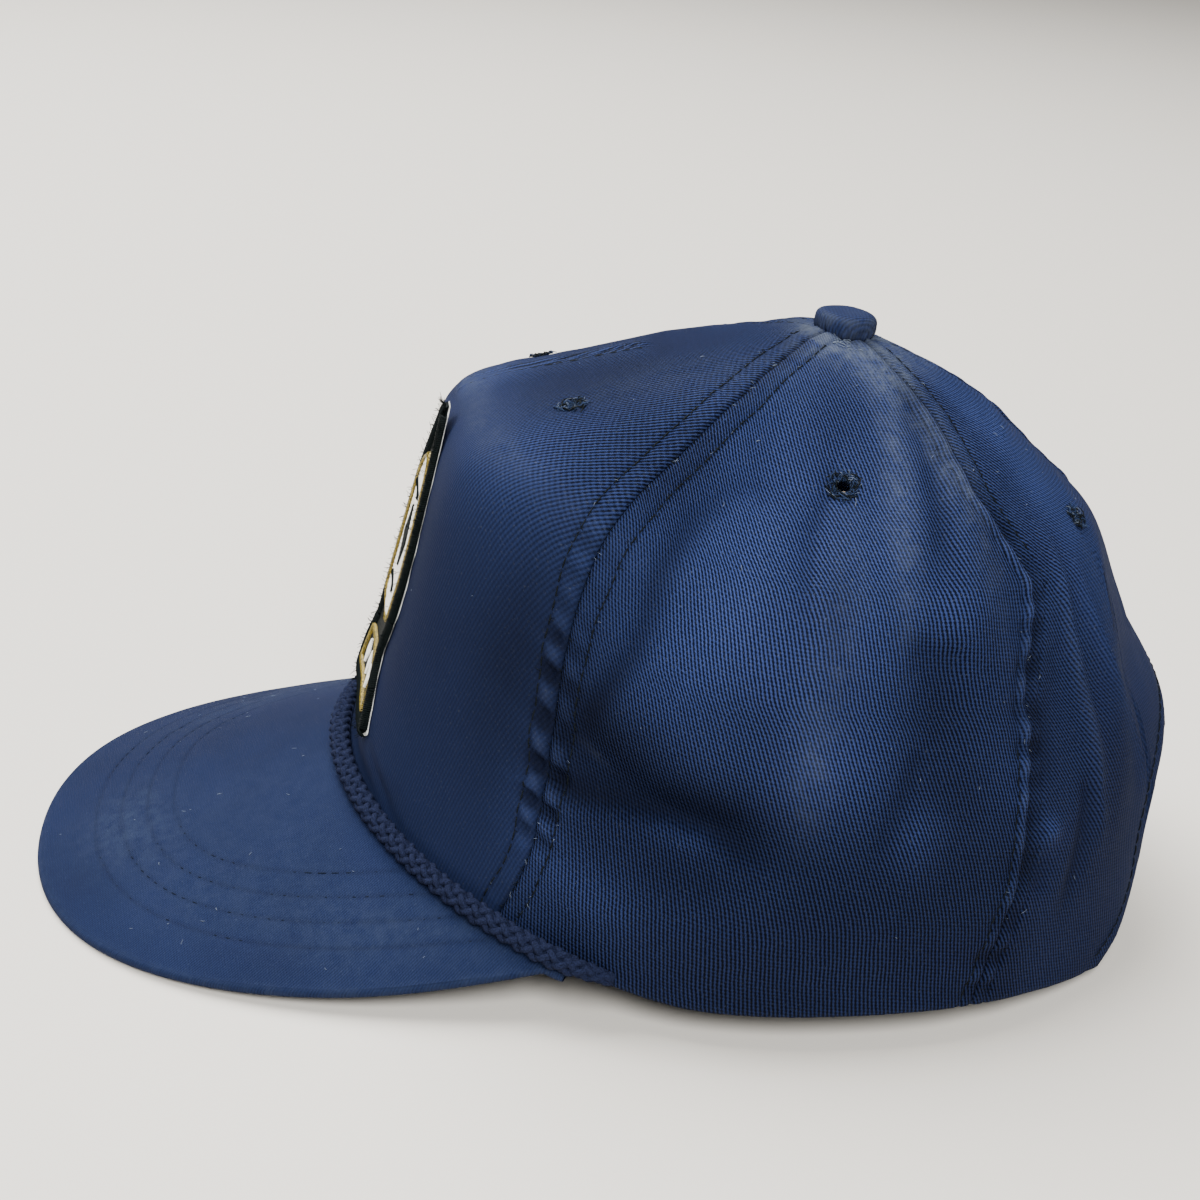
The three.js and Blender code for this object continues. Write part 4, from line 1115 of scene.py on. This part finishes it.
def brim_rows(inset, count=240):
    """Plan positions of a stitch row, a distance inside the flat pattern's outline."""
    t = np.concatenate([-np.linspace(1, 0, count)[:-1], np.linspace(0, 1, count)])
    shape = flat_outline(np.abs(t), **ROW_OUTLINE)
    shape[:, 0] *= np.sign(t)
    shape = shape + inset * right_of(shape)
    x, y = bent_plan(shape[:, 0] - ROW_SHIFT, shape[:, 1])
    outside = np.hypot(x, y) > oval_radius(np.arctan2(x, -y), RIM_OVAL) + 2.2
    return x[outside], y[outside]


ROWS = [brim_rows(inset) for inset in ROW_INSETS]


def brim_reach(azimuth):
    """How far from the middle of the crown's plan the brim's edge lies, at azimuths in radians."""
    x, y = brim_edge(np.linspace(-1, 1, 2001))
    return np.interp(azimuth, np.arctan2(x, -y), np.hypot(x, y))


def on_brim(x, y, lift):
    """Places above the brim's middle surface, in the frame."""
    away = np.hypot(x, y) - oval_radius(np.arctan2(x, -y), RIM_OVAL)
    twist = -BRIM_TWIST * x * ease(away / 30)
    middle = np.stack([x, y + AXIS_Y, SEAM_HEIGHT + brim_shape(x, y) + twist], axis=-1)
    return middle + brim_normal(x, y) * np.asarray(lift)[..., None]


def row_groove(x, y):
    """How deep the stitching pulls the brim's cloth in, and the way to it, over plan positions."""
    nearest = np.full(x.shape, 99.0)
    for row_x, row_y in ROWS:
        for part in range(0, len(row_x), 40):        # in parts, to save memory
            xs, ys = row_x[part:part + 41], row_y[part:part + 41]
            away = np.hypot(x[..., None] - xs, y[..., None] - ys).min(axis=-1)
            nearest = np.minimum(nearest, away)
    return GROOVE["deep"] * bell(nearest / GROOVE["half"]), nearest


def make_brim():
    """The brim in one closed skin: over the top, round its edge and back underneath."""
    columns, top, edge, under = 250, 96, 8, 40
    mesh, flat = flat_grid("brim_skin", columns, top + edge + under)
    # k runs across, closer at the tips, and j from the seam over the top, round the edge and back
    k = 2 * flat[:, 0]
    k = k * (1 - 0.06 * np.abs(k) ** 3) / (1 - 0.06)
    j = (flat[:, 1] + 0.5) * (top + edge + under)
    azimuth = np.radians(k * BRIM_CLOTH_REACH)
    inner = oval_radius(azimuth, RIM_OVAL) + 0.15
    far = brim_reach(azimuth)
    inner_x, inner_y = inner * np.sin(azimuth), -inner * np.cos(azimuth)
    far_x, far_y = far * np.sin(azimuth), -far * np.cos(azimuth)
    width = np.hypot(far_x - inner_x, far_y - inner_y)
    half = BRIM["thickness"] / 2
    nose = np.minimum(half, 0.45 * width)            # of the rounded edge
    share = np.where(j <= top, crowded_foot(np.clip(1 - j / top, 0, 1), 0.5, 8),
                     crowded_foot(np.clip((j - top - edge) / under, 0, 1), 0.5, 8))
    share = np.where((j > top) & (j < top + edge), 0.0, share)
    f = (1 - nose / width) * (1 - share)
    x, y = lerp(inner_x, far_x, f), lerp(inner_y, far_y, f)
    turn = np.clip((j - top) / edge, 0, 1) * np.pi
    level = np.zeros_like(x)
    outward = unit(on_brim(lerp(inner_x, far_x, f + 0.02), lerp(inner_y, far_y, f + 0.02), level)
                   - on_brim(x, y, level))
    groove, nearest = row_groove(x, y)
    waves = 0.10 * rumple(x, y, 26.0, 31) + 0.05 * rumple(x, y, 9.0, 32) \
        + 0.05 * rumple(x, y, 3.4, 36) * bell(nearest / 3)
    relief = (waves - groove) * np.where(j <= top, 1.0, 0.7) * ((j < top) | (j > top + edge))
    lift = half * np.cos(turn) + np.sign(np.cos(turn)) * relief
    set_vertices(mesh, on_brim(x, y, lift) + outward * (nose * np.sin(turn))[:, None])
    face_outwards(mesh, close=True)
    pattern = np.column_stack([x * 1.08, y])
    pattern[j > top] += 60.0             # so that the underside isn't the top's print
    lay_cloth(mesh, pattern)
    # It has faded in a broad band 21 mm from its edge, in patches and along the edge itself
    away = width * (1 - f)
    faded = 0.42 * bell((away - 21) / 12) * (0.6 + 0.6 * rumple(x, y, 26.0, 33)) \
        + 0.22 * np.clip(rumple(x, y, 44.0, 35), 0, 1)
    faded += 0.30 * bell((away - 0.8) / 1.2)
    # Its shade value paints shade into the stitch rows' grooves
    keep_values(mesh, dust=np.clip(faded, 0, 1), shade=1 - 0.2 * groove / GROOVE["deep"], ribs=np.ones(len(x)))
    put_in_scene("brim_cloth", mesh, brim_cloth, ["brim"])
    lines = []
    for i, (x, y) in enumerate(ROWS):
        for face in (1, -1):
            proud, sunk = (on_brim(x, y, np.full(x.shape, face * (half - depth))) for depth in (0.20, 0.75))
            lines += stitches(proud, sunk, pitch=3.1, gap=0.6, seed=60 + i * 2 + face)
    threads("brim_stitches", lines, SEWING_RADIUS, brim_thread)


# The rope

def make_rope():
    """Four strands each way round a core, each passing over and under the others."""
    azimuth = np.linspace(-ROPE_REACH, ROPE_REACH, 700)
    clear = ROPE_RADIUS + 0.1
    r = read_off(RADIUS, azimuth, np.full(700, ROPE_UP)) + clear / math.cos(math.radians(LEAN))
    x, y = r * np.sin(np.radians(azimuth)), -r * np.cos(np.radians(azimuth))
    lift = BRIM["thickness"] / 2 + clear
    route = np.stack([x, y + AXIS_Y, SEAM_HEIGHT + brim_shape(x, y) + lift / brim_normal(x, y)[:, 2]], axis=-1)
    run = run_along(route)
    s = np.linspace(0, run[-1], int(run[-1] / 0.42))
    centre = read_line(route, run, s)
    way = unit(np.gradient(centre, axis=0))
    over = unit(np.array([0, 0, 1.0]) - way * way[:, 2:])
    beside = np.cross(way, over)
    # Both ends are slimmer and tucked in and down, under the side panels
    ends = np.clip(np.minimum(s, run[-1] - s) / BRAID["ends"], 0, 1)
    slim = 0.3 + 0.7 * np.sqrt(ends)
    to_crown = np.stack([-x, -y, 0 * x], axis=-1)
    to_crown = unit(read_line(to_crown, np.linspace(0, run[-1], len(x)), s))
    centre = centre + (to_crown * 2.4 - over * 0.9) * ((1 - ease(ends)) ** 1.5)[:, None]
    lay, strands = BRAID["lay"], BRAID["strands"]
    lines = []
    for way_round in (1, -1):
        for i in range(strands):
            turn = way_round * math.tau * s / lay + math.tau * i / strands
            rise = BRAID["core"] + way_round * BRAID["rise"] * np.cos(math.pi * s * 2 * strands / lay)
            rise = (rise + 0.05 * np.sin(s / 3.1 + i)) * slim
            lines.append(centre + (over * np.sin(turn)[:, None] + beside * np.cos(turn)[:, None]) * rise[:, None])
    rope = threads("rope_braid", lines, BRAID["radius"], cord_cotton, sides=1, taper=0.5)
    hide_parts("rope")
    threads("rope_core", [centre[16:-16:4]], 1.2, cord_cotton, sides=2, taper=0.6)
    dice = random.Random(8)
    fuzz = []
    for _ in range(260):
        i = dice.randrange(4, len(s) - 4)
        turn = dice.uniform(-0.6, 3.7)           # not on its underside
        side = over[i] * math.sin(turn) + beside[i] * math.cos(turn)
        out = side + way[i] * dice.uniform(-1.6, 1.6)
        curl = np.array([dice.uniform(-1, 1) for _ in range(3)])
        steps = np.linspace(0, 1, 4)[:, None]
        fuzz.append(centre[i] + side * 1.95 * slim[i] + out * steps * dice.uniform(0.3, 0.8)
                    + curl * steps ** 2 * 0.4)
    threads("rope_fuzz", fuzz, 0.05, cord_cotton, taper=0.5)


# The patch

MIRRORED = np.array([-1, 1])
SATIN_PITCH = 0.42               # from thread to thread
# The raised field and the gold round it: its foot, where its rounded ends begin, and its top;
# what it leaves of the patch's edge, and how far the gold stands outside it
FIELD = {"foot": 22.0, "low": 24.5, "high": 52.0, "top": 58.0, "margin": 4.4, "wider": 0.4, "gold": 0.5}
DIAMOND = {"middle": 39.5, "half": 5.6, "tall": 8.0}
BARS = {"away": 11.0, "half": 6.0}       # above and below the diamond
BAND = {"foot": (14.6, 3.8), "top": (11.6, 13.2)}    # the corners of the gold frame below
LOZENGES = {"across": (-7.0, 0.0, 7.0), "middle": 8.6, "half": 2.1, "tall": 3.0}


def on_patch(x, y, lift):
    """Places on the patch, across from its middle and up from its foot, in millimetres."""
    y = np.asarray(y, float)
    held = np.minimum(y, PATCH_STIFF)
    up = PATCH["low"] + held / RISE
    r = read_off(RADIUS, np.zeros_like(up), up)
    azimuth = np.degrees(np.asarray(x) / r)
    place, normal = read_off(PLACE, azimuth, up), read_off(NORMAL, azimuth, up)
    way = unit(place - read_off(PLACE, azimuth, up - 4 / RISE))
    return place + way * (y - held)[..., None] + normal * np.asarray(lift)[..., None]


def patch_half(y):
    return np.interp(y, *zip(*PATCH_SHAPE))


def patch_outline(inset, count=240):
    """The patch's outline, anticlockwise from the middle of its foot, drawn in by an inset."""
    y = np.linspace(inset, PATCH_TALL - inset, count)
    half = np.maximum(patch_half(np.minimum(y + inset * 0.3, PATCH_TALL)) - inset, 0.0)
    right = np.stack([half, y], axis=-1)
    foot = np.stack([np.linspace(0, half[0], 40)[:-1], np.full(39, y[0])], axis=-1)
    top = np.stack([np.linspace(half[-1], 0, 20)[1:], np.full(19, y[-1])], axis=-1)
    one = np.vstack([foot, right, top])
    return np.vstack([one, (one * MIRRORED)[::-1][1:-1], one[:1]])


def satin(line, width, base, swell):
    """Threads laid close across a path in the patch's plane, humped over it."""
    run = run_along(line)
    k = np.linspace(-1, 1, 6)
    lines = []
    for s in np.arange(0.0, run[-1] - SATIN_PITCH, SATIN_PITCH):
        here = read_line(line, run, s)
        step = read_line(line, run, min(s + 0.3, run[-1])) - here
        if np.linalg.norm(step) < 1e-6:
            continue
        way = unit(step)
        side = np.array([way[1], -way[0]])
        across = here + side * k[:, None] * width / 2 + way * (k * SATIN_PITCH * 0.35)[:, None]
        lift = base + swell * (1 - k ** 2) - 0.25 * (np.abs(k) > 0.99)
        lines.append(on_patch(across[:, 0], across[:, 1], lift))
    return lines


def fill(inside, low, high, pitch, base, swell):
    """Level threads that fill a shape; inside(y) gives its half width at a height."""
    lines = []
    for i, y in enumerate(np.arange(low + pitch / 2, high, pitch)):
        half = float(inside(y))
        if half < 0.5:
            continue
        k = np.linspace(-1, 1, 13)
        lift = base + swell * dome(k) + (0.06 if i % 2 else 0.0)
        lines.append(on_patch(k * half, np.full(13, y), lift))
    return lines


def make_patch():
    """An embroidered patch of plain shapes: a dark ground with a thick edge, a raised white
    field in a gold outline with a dark diamond and bars on it, and a gold-lined band below."""
    bodies = (("patch_backing", 0.4, 0.05, 0.35, backing_felt), ("patch_ground", 0.0, 0.3, 0.95, dark_rayon))
    for name, spread, low, high, material in bodies:
        mesh, flat = flat_grid(name, 44, 110)
        mesh = walled(mesh, name)
        y = crowded(flat[:, 1] + 0.5, 0.6) * (PATCH_TALL + 2 * spread) - spread
        # The backing's edge is torn, and hidden by the border where it has come up
        ragged = 0.55 * np.sin(y / 3.4 + 1.4 * np.sin(y / 6.3)) + 0.3 * np.sin(y / 1.1 + 1) - 0.2 \
            - 0.9 * bell((y - 47) / 5) if spread else 0.0
        half = patch_half(np.clip(y, 0, PATCH_TALL)) + spread + ragged - 0.3
        end = np.minimum(y + spread, PATCH_TALL + spread - y)
        half = half - 1.6 * (1 - ease(end / 2.2))
        x = flat[:, 0] * 2 * half
        edge = np.minimum(end, half * (1 - np.abs(flat[:, 0] * 2)))
        soft = (high - low) * 0.6 * (1 - ease(edge / 1.6))
        set_vertices(mesh, np.vstack([on_patch(x, y, high - soft), on_patch(x, y, low + 0 * x)]))
        put_in_scene(name, mesh, material, ["patch"] if spread == 0 else ())

    def shield(y):
        over = max(0.0, (y - FIELD["high"]) / (FIELD["top"] - FIELD["high"]))
        below = max(0.0, (FIELD["low"] - y) / (FIELD["low"] - FIELD["foot"]))
        rounded = max(0.0, 1 - max(over, below) ** 2) ** 0.5
        return max(0.0, (float(patch_half(y)) - FIELD["margin"] + FIELD["wider"]) * rounded)

    heights = np.concatenate([np.linspace(FIELD["foot"], FIELD["low"], 14), np.linspace(25.2, FIELD["high"], 60),
                              np.linspace(52.3, FIELD["top"], 26)])
    side = np.array([(shield(y) + FIELD["gold"], y) for y in heights])
    outline = np.vstack([side, (side * MIRRORED)[::-1], side[:1]])
    middle, tall = DIAMOND["middle"], DIAMOND["tall"]
    diamond = lambda y: max(0.0, DIAMOND["half"] * (1 - abs(y - middle) / tall))
    white = fill(shield, FIELD["foot"], FIELD["top"], 0.46, 1.0, 0.85)
    gold = satin(outline, 2.3, 0.95, 1.0)
    dark = fill(diamond, middle - tall, middle + tall, 0.44, 2.05, 0.2)
    border = satin(patch_outline(1.7), 4.0, 0.6, 1.05)
    for height in (middle - BARS["away"], middle + BARS["away"]):
        bar = np.stack([np.linspace(-BARS["half"], BARS["half"], 40), np.full(40, height)], axis=-1)
        dark += satin(bar, 1.5, 1.9, 0.35)
    band = np.array([BAND["foot"], BAND["top"]])
    corners = np.vstack([band, band[::-1] * MIRRORED, band[:1]])
    sides = [lerp(corners[i], corners[i + 1], np.linspace(0, 1, 60)[:-1, None]) for i in range(4)]
    gold += satin(np.vstack(sides + [corners[:1]]), 1.5, 0.95, 0.6)
    k = np.linspace(-1, 1, 7)
    for x in LOZENGES["across"]:
        for y in np.arange(LOZENGES["middle"] - 2.8, LOZENGES["middle"] + 2.8, 0.44):
            half = max(0.25, LOZENGES["half"] * (1 - abs(y - LOZENGES["middle"]) / LOZENGES["tall"]))
            white.append(on_patch(x + k * half, np.full(7, y), 0.95 + 0.4 * dome(k)))
    dice = random.Random(12)
    loose = []
    rim = patch_outline(0.4)
    for _ in range(420):
        x, y = rim[dice.randrange(len(rim))]
        out = unit(np.array([x, (y - PATCH_TALL / 2) * 0.5]))
        out = out * dice.uniform(0.2, 1.2) * (1.6 if y > PATCH_TALL - 8 else 1.0)
        loose.append(on_patch(x + out[0] * ALONG, y + out[1] * ALONG + dice.uniform(-1, 1) * ALONG ** 2,
                              1.0 + dice.uniform(0.2, 1.8) * ALONG))
    for _ in range(60):
        y = dice.uniform(FIELD["foot"], FIELD["top"])
        x = dice.uniform(-0.9, 0.9) * shield(y)
        loose.append(on_patch(x + dice.uniform(-1.5, 1.5) * ALONG, y + dice.uniform(-1.5, 1.5) * ALONG,
                              1.6 + dice.uniform(0.3, 1.6) * ALONG))
    threads("patch_border", border, 0.29, dark_rayon)
    threads("patch_white_field", white, 0.29, white_rayon)
    threads("patch_gold_lines", gold, 0.23, gold_film)
    threads("patch_diamond", dark, 0.25, dark_rayon)
    threads("patch_loose_threads", loose, FUZZ_RADIUS, dark_rayon)


# The button

def make_button():
    """A flat button covered in the crown's cloth, gathered round its edge and underneath."""
    low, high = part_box("button")
    centre = Vector(((low.x + high.x) / 2, (low.y + high.y) / 2, low.z)) / MM
    radius, tall = BUTTON["radius"], BUTTON["height"]
    profile = [(0.0, tall - 0.35), (2.2, tall - 0.25), (4.2, tall - 0.1), (5.3, tall - 0.15),
               (6.1, tall - 0.5), (6.7, tall - 1.1), (radius, tall - 1.9), (radius, 2.4), (6.75, 1.4),
               (6.4, 0.5), (6.0, 0.0), (5.0, -0.7), (0.0, -0.7)]
    bm = bmesh.new()
    ring = [bm.verts.new((x, 0, z)) for x, z in profile]
    edges = [bm.edges.new(pair) for pair in zip(ring, ring[1:])]
    bmesh.ops.spin(bm, geom=ring + edges, cent=(0, 0, 0), axis=(0, 0, 1), angle=math.tau, steps=72, use_merge=True)
    bmesh.ops.remove_doubles(bm, verts=bm.verts, dist=0.001)
    bmesh.ops.subdivide_edges(bm, edges=bm.edges, cuts=1, use_grid_fill=True, smooth=0.3)
    bmesh.ops.recalc_face_normals(bm, faces=bm.faces)
    for v in bm.verts:
        # Gathers round the lower side, and a slightly uneven top
        turn, away = math.atan2(v.co.y, v.co.x), math.hypot(v.co.x, v.co.y)
        gather = 0.16 * math.sin(turn * 15) + 0.1 * math.sin(turn * 23 + 1.3)
        side = math.exp(-((v.co.z - 1.0) / 1.6) ** 2) if away > 4 else 0.0
        v.co.x *= 1 + gather * side / radius
        v.co.y *= 1 + gather * side / radius
        v.co.z += 0.12 * math.sin(v.co.x / 2.1 + 0.6) + 0.1 * math.sin(v.co.y / 1.7)
    tilted = Matrix.Translation(centre) @ Matrix.Rotation(-math.radians(BUTTON["tilt"]), 4, "X")
    places = np.array([v.co for v in bm.verts])
    # The cloth's pattern spreads a little down the sides; the edge is worn, and the foot darker with painted shade
    # where it meets the crown
    pattern = places[:, :2] * (1 + 0.06 * np.maximum(0, tall - places[:, 2:])) - [0, 9]
    edge_wear = 0.35 * bell((np.hypot(places[:, 0], places[:, 1]) - 6.6) / 0.8) + 0.12
    foot = 1 - 0.45 * bell(places[:, 2] / 0.9)
    bmesh.ops.transform(bm, matrix=Matrix.Scale(MM, 4) @ tilted, verts=bm.verts)
    mesh = finished(bm, "button_cover")
    lay_cloth(mesh, pattern)
    keep_values(mesh, dust=edge_wear, shade=0.9 * foot, ribs=np.full(len(foot), 0.35))
    put_in_scene("button_cover", mesh, crown_cloth, ["button"])


# The strap

def make_strap():
    """A plain woven strap inside the back panels and across the arch opening."""
    inside = CLOTH + 0.3 + STRAP["thickness"] / 2
    sides = []
    for side in (1, -1):
        azimuth = side * np.array(STRAP["hidden"])
        up = np.full(3, STRAP["touches"])
        depth = inside + marks(FOLDS, azimuth, up)
        wall = read_off(PLACE, azimuth, up) - read_off(NORMAL, azimuth, up) * depth[:, None]
        half = [(p[0], p[1] - AXIS_Y) for p in wall]
        half += [(side * STRAP["corner"][0], STRAP["corner"][1]), (side * STRAP["corner"][0] / 2, STRAP["bow"] - 1)]
        sides.append(half)
    knots = np.array(sides[0] + [(0.0, STRAP["bow"])] + sides[1][::-1])
    padded = np.vstack([2 * knots[0] - knots[1], knots, 2 * knots[-1] - knots[-2]])
    line = []
    for i in range(len(knots) - 1):
        # A smooth curve through the knots, as a strip of stiff webbing bends
        a, b, c, d = padded[i:i + 4]
        t = np.linspace(0, 1, 25)[:-1, None]
        line.append(0.5 * (2 * b + (c - a) * t + (2 * a - 5 * b + 4 * c - d) * t ** 2
                           + (3 * b - a - 3 * c + d) * t ** 3))
    line = np.vstack(line + [knots[-1:]])
    run = run_along(line)
    mesh, flat = flat_grid("strap_weave", 150, 24)
    mesh = walled(mesh, "strap_weave")
    s, tall = (flat[:, 0] + 0.5) * run[-1], crowded(flat[:, 1] + 0.5, 0.6) * STRAP["height"]
    way = unit(read_line(line, run, s + 0.5) - read_line(line, run, s - 0.5))
    out = np.stack([way[:, 1], -way[:, 0]], axis=-1)
    if float(np.mean(out[:, 1])) < 0:
        out = -out
    raised = STRAP["sag"] * ease((np.abs(s - run[-1] / 2) - STRAP["flat_half"]) / 40)
    edge = np.minimum(tall, STRAP["height"] - tall)
    thick = STRAP["thickness"] / 2 * (0.45 + 0.55 * dome(np.clip(1 - edge, 0, 1)))
    faces = [np.column_stack([read_line(line, run, s) + side * out * thick[:, None] + [0, AXIS_Y], raised + tall])
             for side in (1, -1)]
    set_vertices(mesh, np.vstack(faces))
    lay_cloth(mesh, np.tile(np.column_stack([s, tall]), (2, 1)))
    face_outwards(mesh)
    put_in_scene("strap_weave", mesh, strap_webbing(), ["back_strap"])


def strap_webbing():
    """Cotton webbing: a plain weave of thick yarns that reads as small blocks in rows, 2.4 mm
    apart along the strap and 1.2 mm apart across it."""
    material, tree, shader = fresh("cotton_webbing")
    cloth = add(tree, "ShaderNodeUVMap", uv_map="cloth").outputs["UV"]
    waves = []
    for way in ((math.tau / 2.4, math.tau / 1.2, 0.0), (math.tau / 2.4, -math.tau / 1.2, 0.0)):
        phase = add(tree, "ShaderNodeVectorMath", {0: cloth, 1: way}, operation="DOT_PRODUCT").outputs["Value"]
        waves.append(add(tree, "ShaderNodeMath", {0: phase}, operation="SINE").outputs[0])
    blocks = add(tree, "ShaderNodeMath", {0: waves[0], 1: waves[1]}, operation="ADD").outputs[0]
    height = add(tree, "ShaderNodeMapRange", {"Value": blocks, "From Min": -2.0, "From Max": 2.0}).outputs["Result"]
    # Spun fibre in lumps of 0.6 mm
    fibre = add(tree, "ShaderNodeTexNoise", {"Vector": cloth, "Scale": 1.6, "Detail": 4.0})
    tone = add(tree, "ShaderNodeMath", {0: height, 1: fibre.outputs["Fac"]}, operation="MULTIPLY").outputs[0]
    mixed = add(tree, "ShaderNodeMix", {0: tone, 6: linear("#17233f"), 7: linear("#46598a")}, data_type="RGBA")
    tree.links.new(mixed.outputs[2], shader.inputs["Base Color"])
    bump = add(tree, "ShaderNodeBump", {"Height": height, "Strength": 0.7, "Distance": 0.0004})
    tree.links.new(bump.outputs["Normal"], shader.inputs["Normal"])
    settle(shader, Roughness=0.85, Sheen_Weight=0.2)
    return material


# Lint

LINT = {"crown": 70, "brim": 60, "under_button": 46}


def make_lint():
    """A few pale fibres on the crown and the brim, and more under the button."""
    dice = random.Random(4)
    lines = []
    s = np.linspace(-0.5, 0.5, 5)
    for _ in range(LINT["crown"]):
        azimuth, up = dice.uniform(-170, 170), dice.uniform(0.06, 0.9)
        if abs(azimuth) > 130 and up < 0.45:     # the arch opening
            continue
        turn, long = dice.uniform(0, math.tau), dice.uniform(0.3, 1.2)
        r = float(read_off(RADIUS, azimuth, up))
        bend = dice.uniform(-0.6, 0.6)
        across = long * (s * math.cos(turn) - bend * s * s * math.sin(turn))
        along = long * (s * math.sin(turn) + bend * s * s * math.cos(turn))
        lines.append(on_crown(azimuth + np.degrees(across / r), up + along / RISE, 0.12 + 0.1 * np.cos(s * 3)))
    rim_x, rim_y = brim_edge(np.linspace(-1, 1, 200))
    for _ in range(LINT["brim"]):
        azimuth = math.radians(dice.uniform(-45, 45))
        far = dice.uniform(8, 66)
        r = float(oval_radius(np.array([azimuth]), RIM_OVAL)[0]) + far
        turn, long = dice.uniform(0, math.tau), dice.uniform(0.3, 1.3)
        x = r * math.sin(azimuth) + long * s * math.cos(turn)
        y = -r * math.cos(azimuth) + long * s * math.sin(turn) + 0.4 * s * s
        nearest = np.min(np.hypot(rim_x - x[2], rim_y - y[2]))
        reach = np.interp(azimuth, np.arctan2(rim_x, -rim_y), np.hypot(rim_x, rim_y)) - 2
        if nearest < 3 or math.hypot(x[2], y[2]) > reach:
            continue                             # over the brim's edge, or too near it
        lines.append(on_brim(x, y, np.full(5, BRIM["thickness"] / 2 + 0.08)))
    for _ in range(LINT["under_button"]):
        azimuth, up = dice.gauss(77, 9), dice.uniform(0.935, 0.962)
        bend = dice.uniform(-0.5, 0.5)
        lines.append(on_crown(azimuth + s * dice.uniform(2, 9), up + bend * s / RISE, 0.15 + 0.15 * np.cos(s * 3)))
    threads("lint", lines, FUZZ_RADIUS, pale_fibre, taper=0.5)


# Camera, floor and light

# The photograph's view: degrees, and millimetres from what the camera looks at
CAMERA = {"azimuth": 81.0, "elevation": 23.3, "roll": 5.2, "target": (0.0, -2.73, 64.6), "distance": 446.0,
          "lens": 57.4, "sensor": 36.0}
# Soft studio lamps: place and what they light in metres, diameter in metres, watts
LAMPS = {"overhead": ((-0.9, -0.7, 1.9), (0, 0, 0.05), 2.4, 164.0),
         "key": ((1.25, -0.05, 1.25), (0, 0, 0.08), 0.9, 54.0)}


def make_camera():
    azimuth, elevation, roll = (math.radians(CAMERA[key]) for key in ("azimuth", "elevation", "roll"))
    target, distance = Vector(CAMERA["target"]) * MM, CAMERA["distance"] * MM
    back = Vector((math.sin(azimuth) * math.cos(elevation), -math.cos(azimuth) * math.cos(elevation),
                   math.sin(elevation)))
    right = Vector((math.cos(azimuth), math.sin(azimuth), 0.0))
    up = back.cross(right)
    turned_right = right * math.cos(roll) + up * math.sin(roll)
    turned_up = up * math.cos(roll) - right * math.sin(roll)
    camera = bpy.data.objects.new("camera", bpy.data.cameras.new("camera"))
    camera.data.lens = CAMERA["lens"]
    camera.data.sensor_width = CAMERA["sensor"]
    camera.data.clip_start = 0.01
    axes = Matrix((turned_right, turned_up, back)).transposed().to_4x4()
    camera.matrix_world = Matrix.Translation(target + back * distance) @ axes
    bpy.context.scene.collection.objects.link(camera)
    bpy.context.scene.camera = camera


def make_floor():
    bm = bmesh.new()
    bmesh.ops.create_grid(bm, x_segments=1, y_segments=1, size=6.0)      # metres
    mesh = finished(bm, "floor")
    floor = bpy.data.objects.new("floor", mesh)
    bpy.context.scene.collection.objects.link(floor)
    # Matt painted board, a warm pale grey
    material, _, shader = fresh("painted_board")
    shader.inputs["Base Color"].default_value = linear("#d2cdc4")
    settle(shader, Roughness=0.7)
    mesh.materials.append(material)


def make_light(name, place, target, size, power):
    lamp = bpy.data.lights.new(name, "AREA")
    lamp.shape = "DISK"
    lamp.size = size
    lamp.energy = power
    holder = bpy.data.objects.new(name, lamp)
    holder.location = place
    holder.rotation_euler = (Vector(target) - Vector(place)).to_track_quat("-Z", "Y").to_euler()
    bpy.context.scene.collection.objects.link(holder)


def make_lights():
    for name, lamp in LAMPS.items():
        make_light(name, *lamp)
    world = bpy.data.worlds.new("studio")
    world.use_nodes = True
    background = world.node_tree.nodes["Background"]
    background.inputs["Color"].default_value = linear("#f1efec")
    background.inputs["Strength"].default_value = 0.22
    bpy.context.scene.world = world


make_camera()
make_panels()
crown_stitches()
make_eyelets()
make_brim()
make_rope()
make_patch()
make_button()
make_strap()
make_lint()
make_floor()
make_lights()
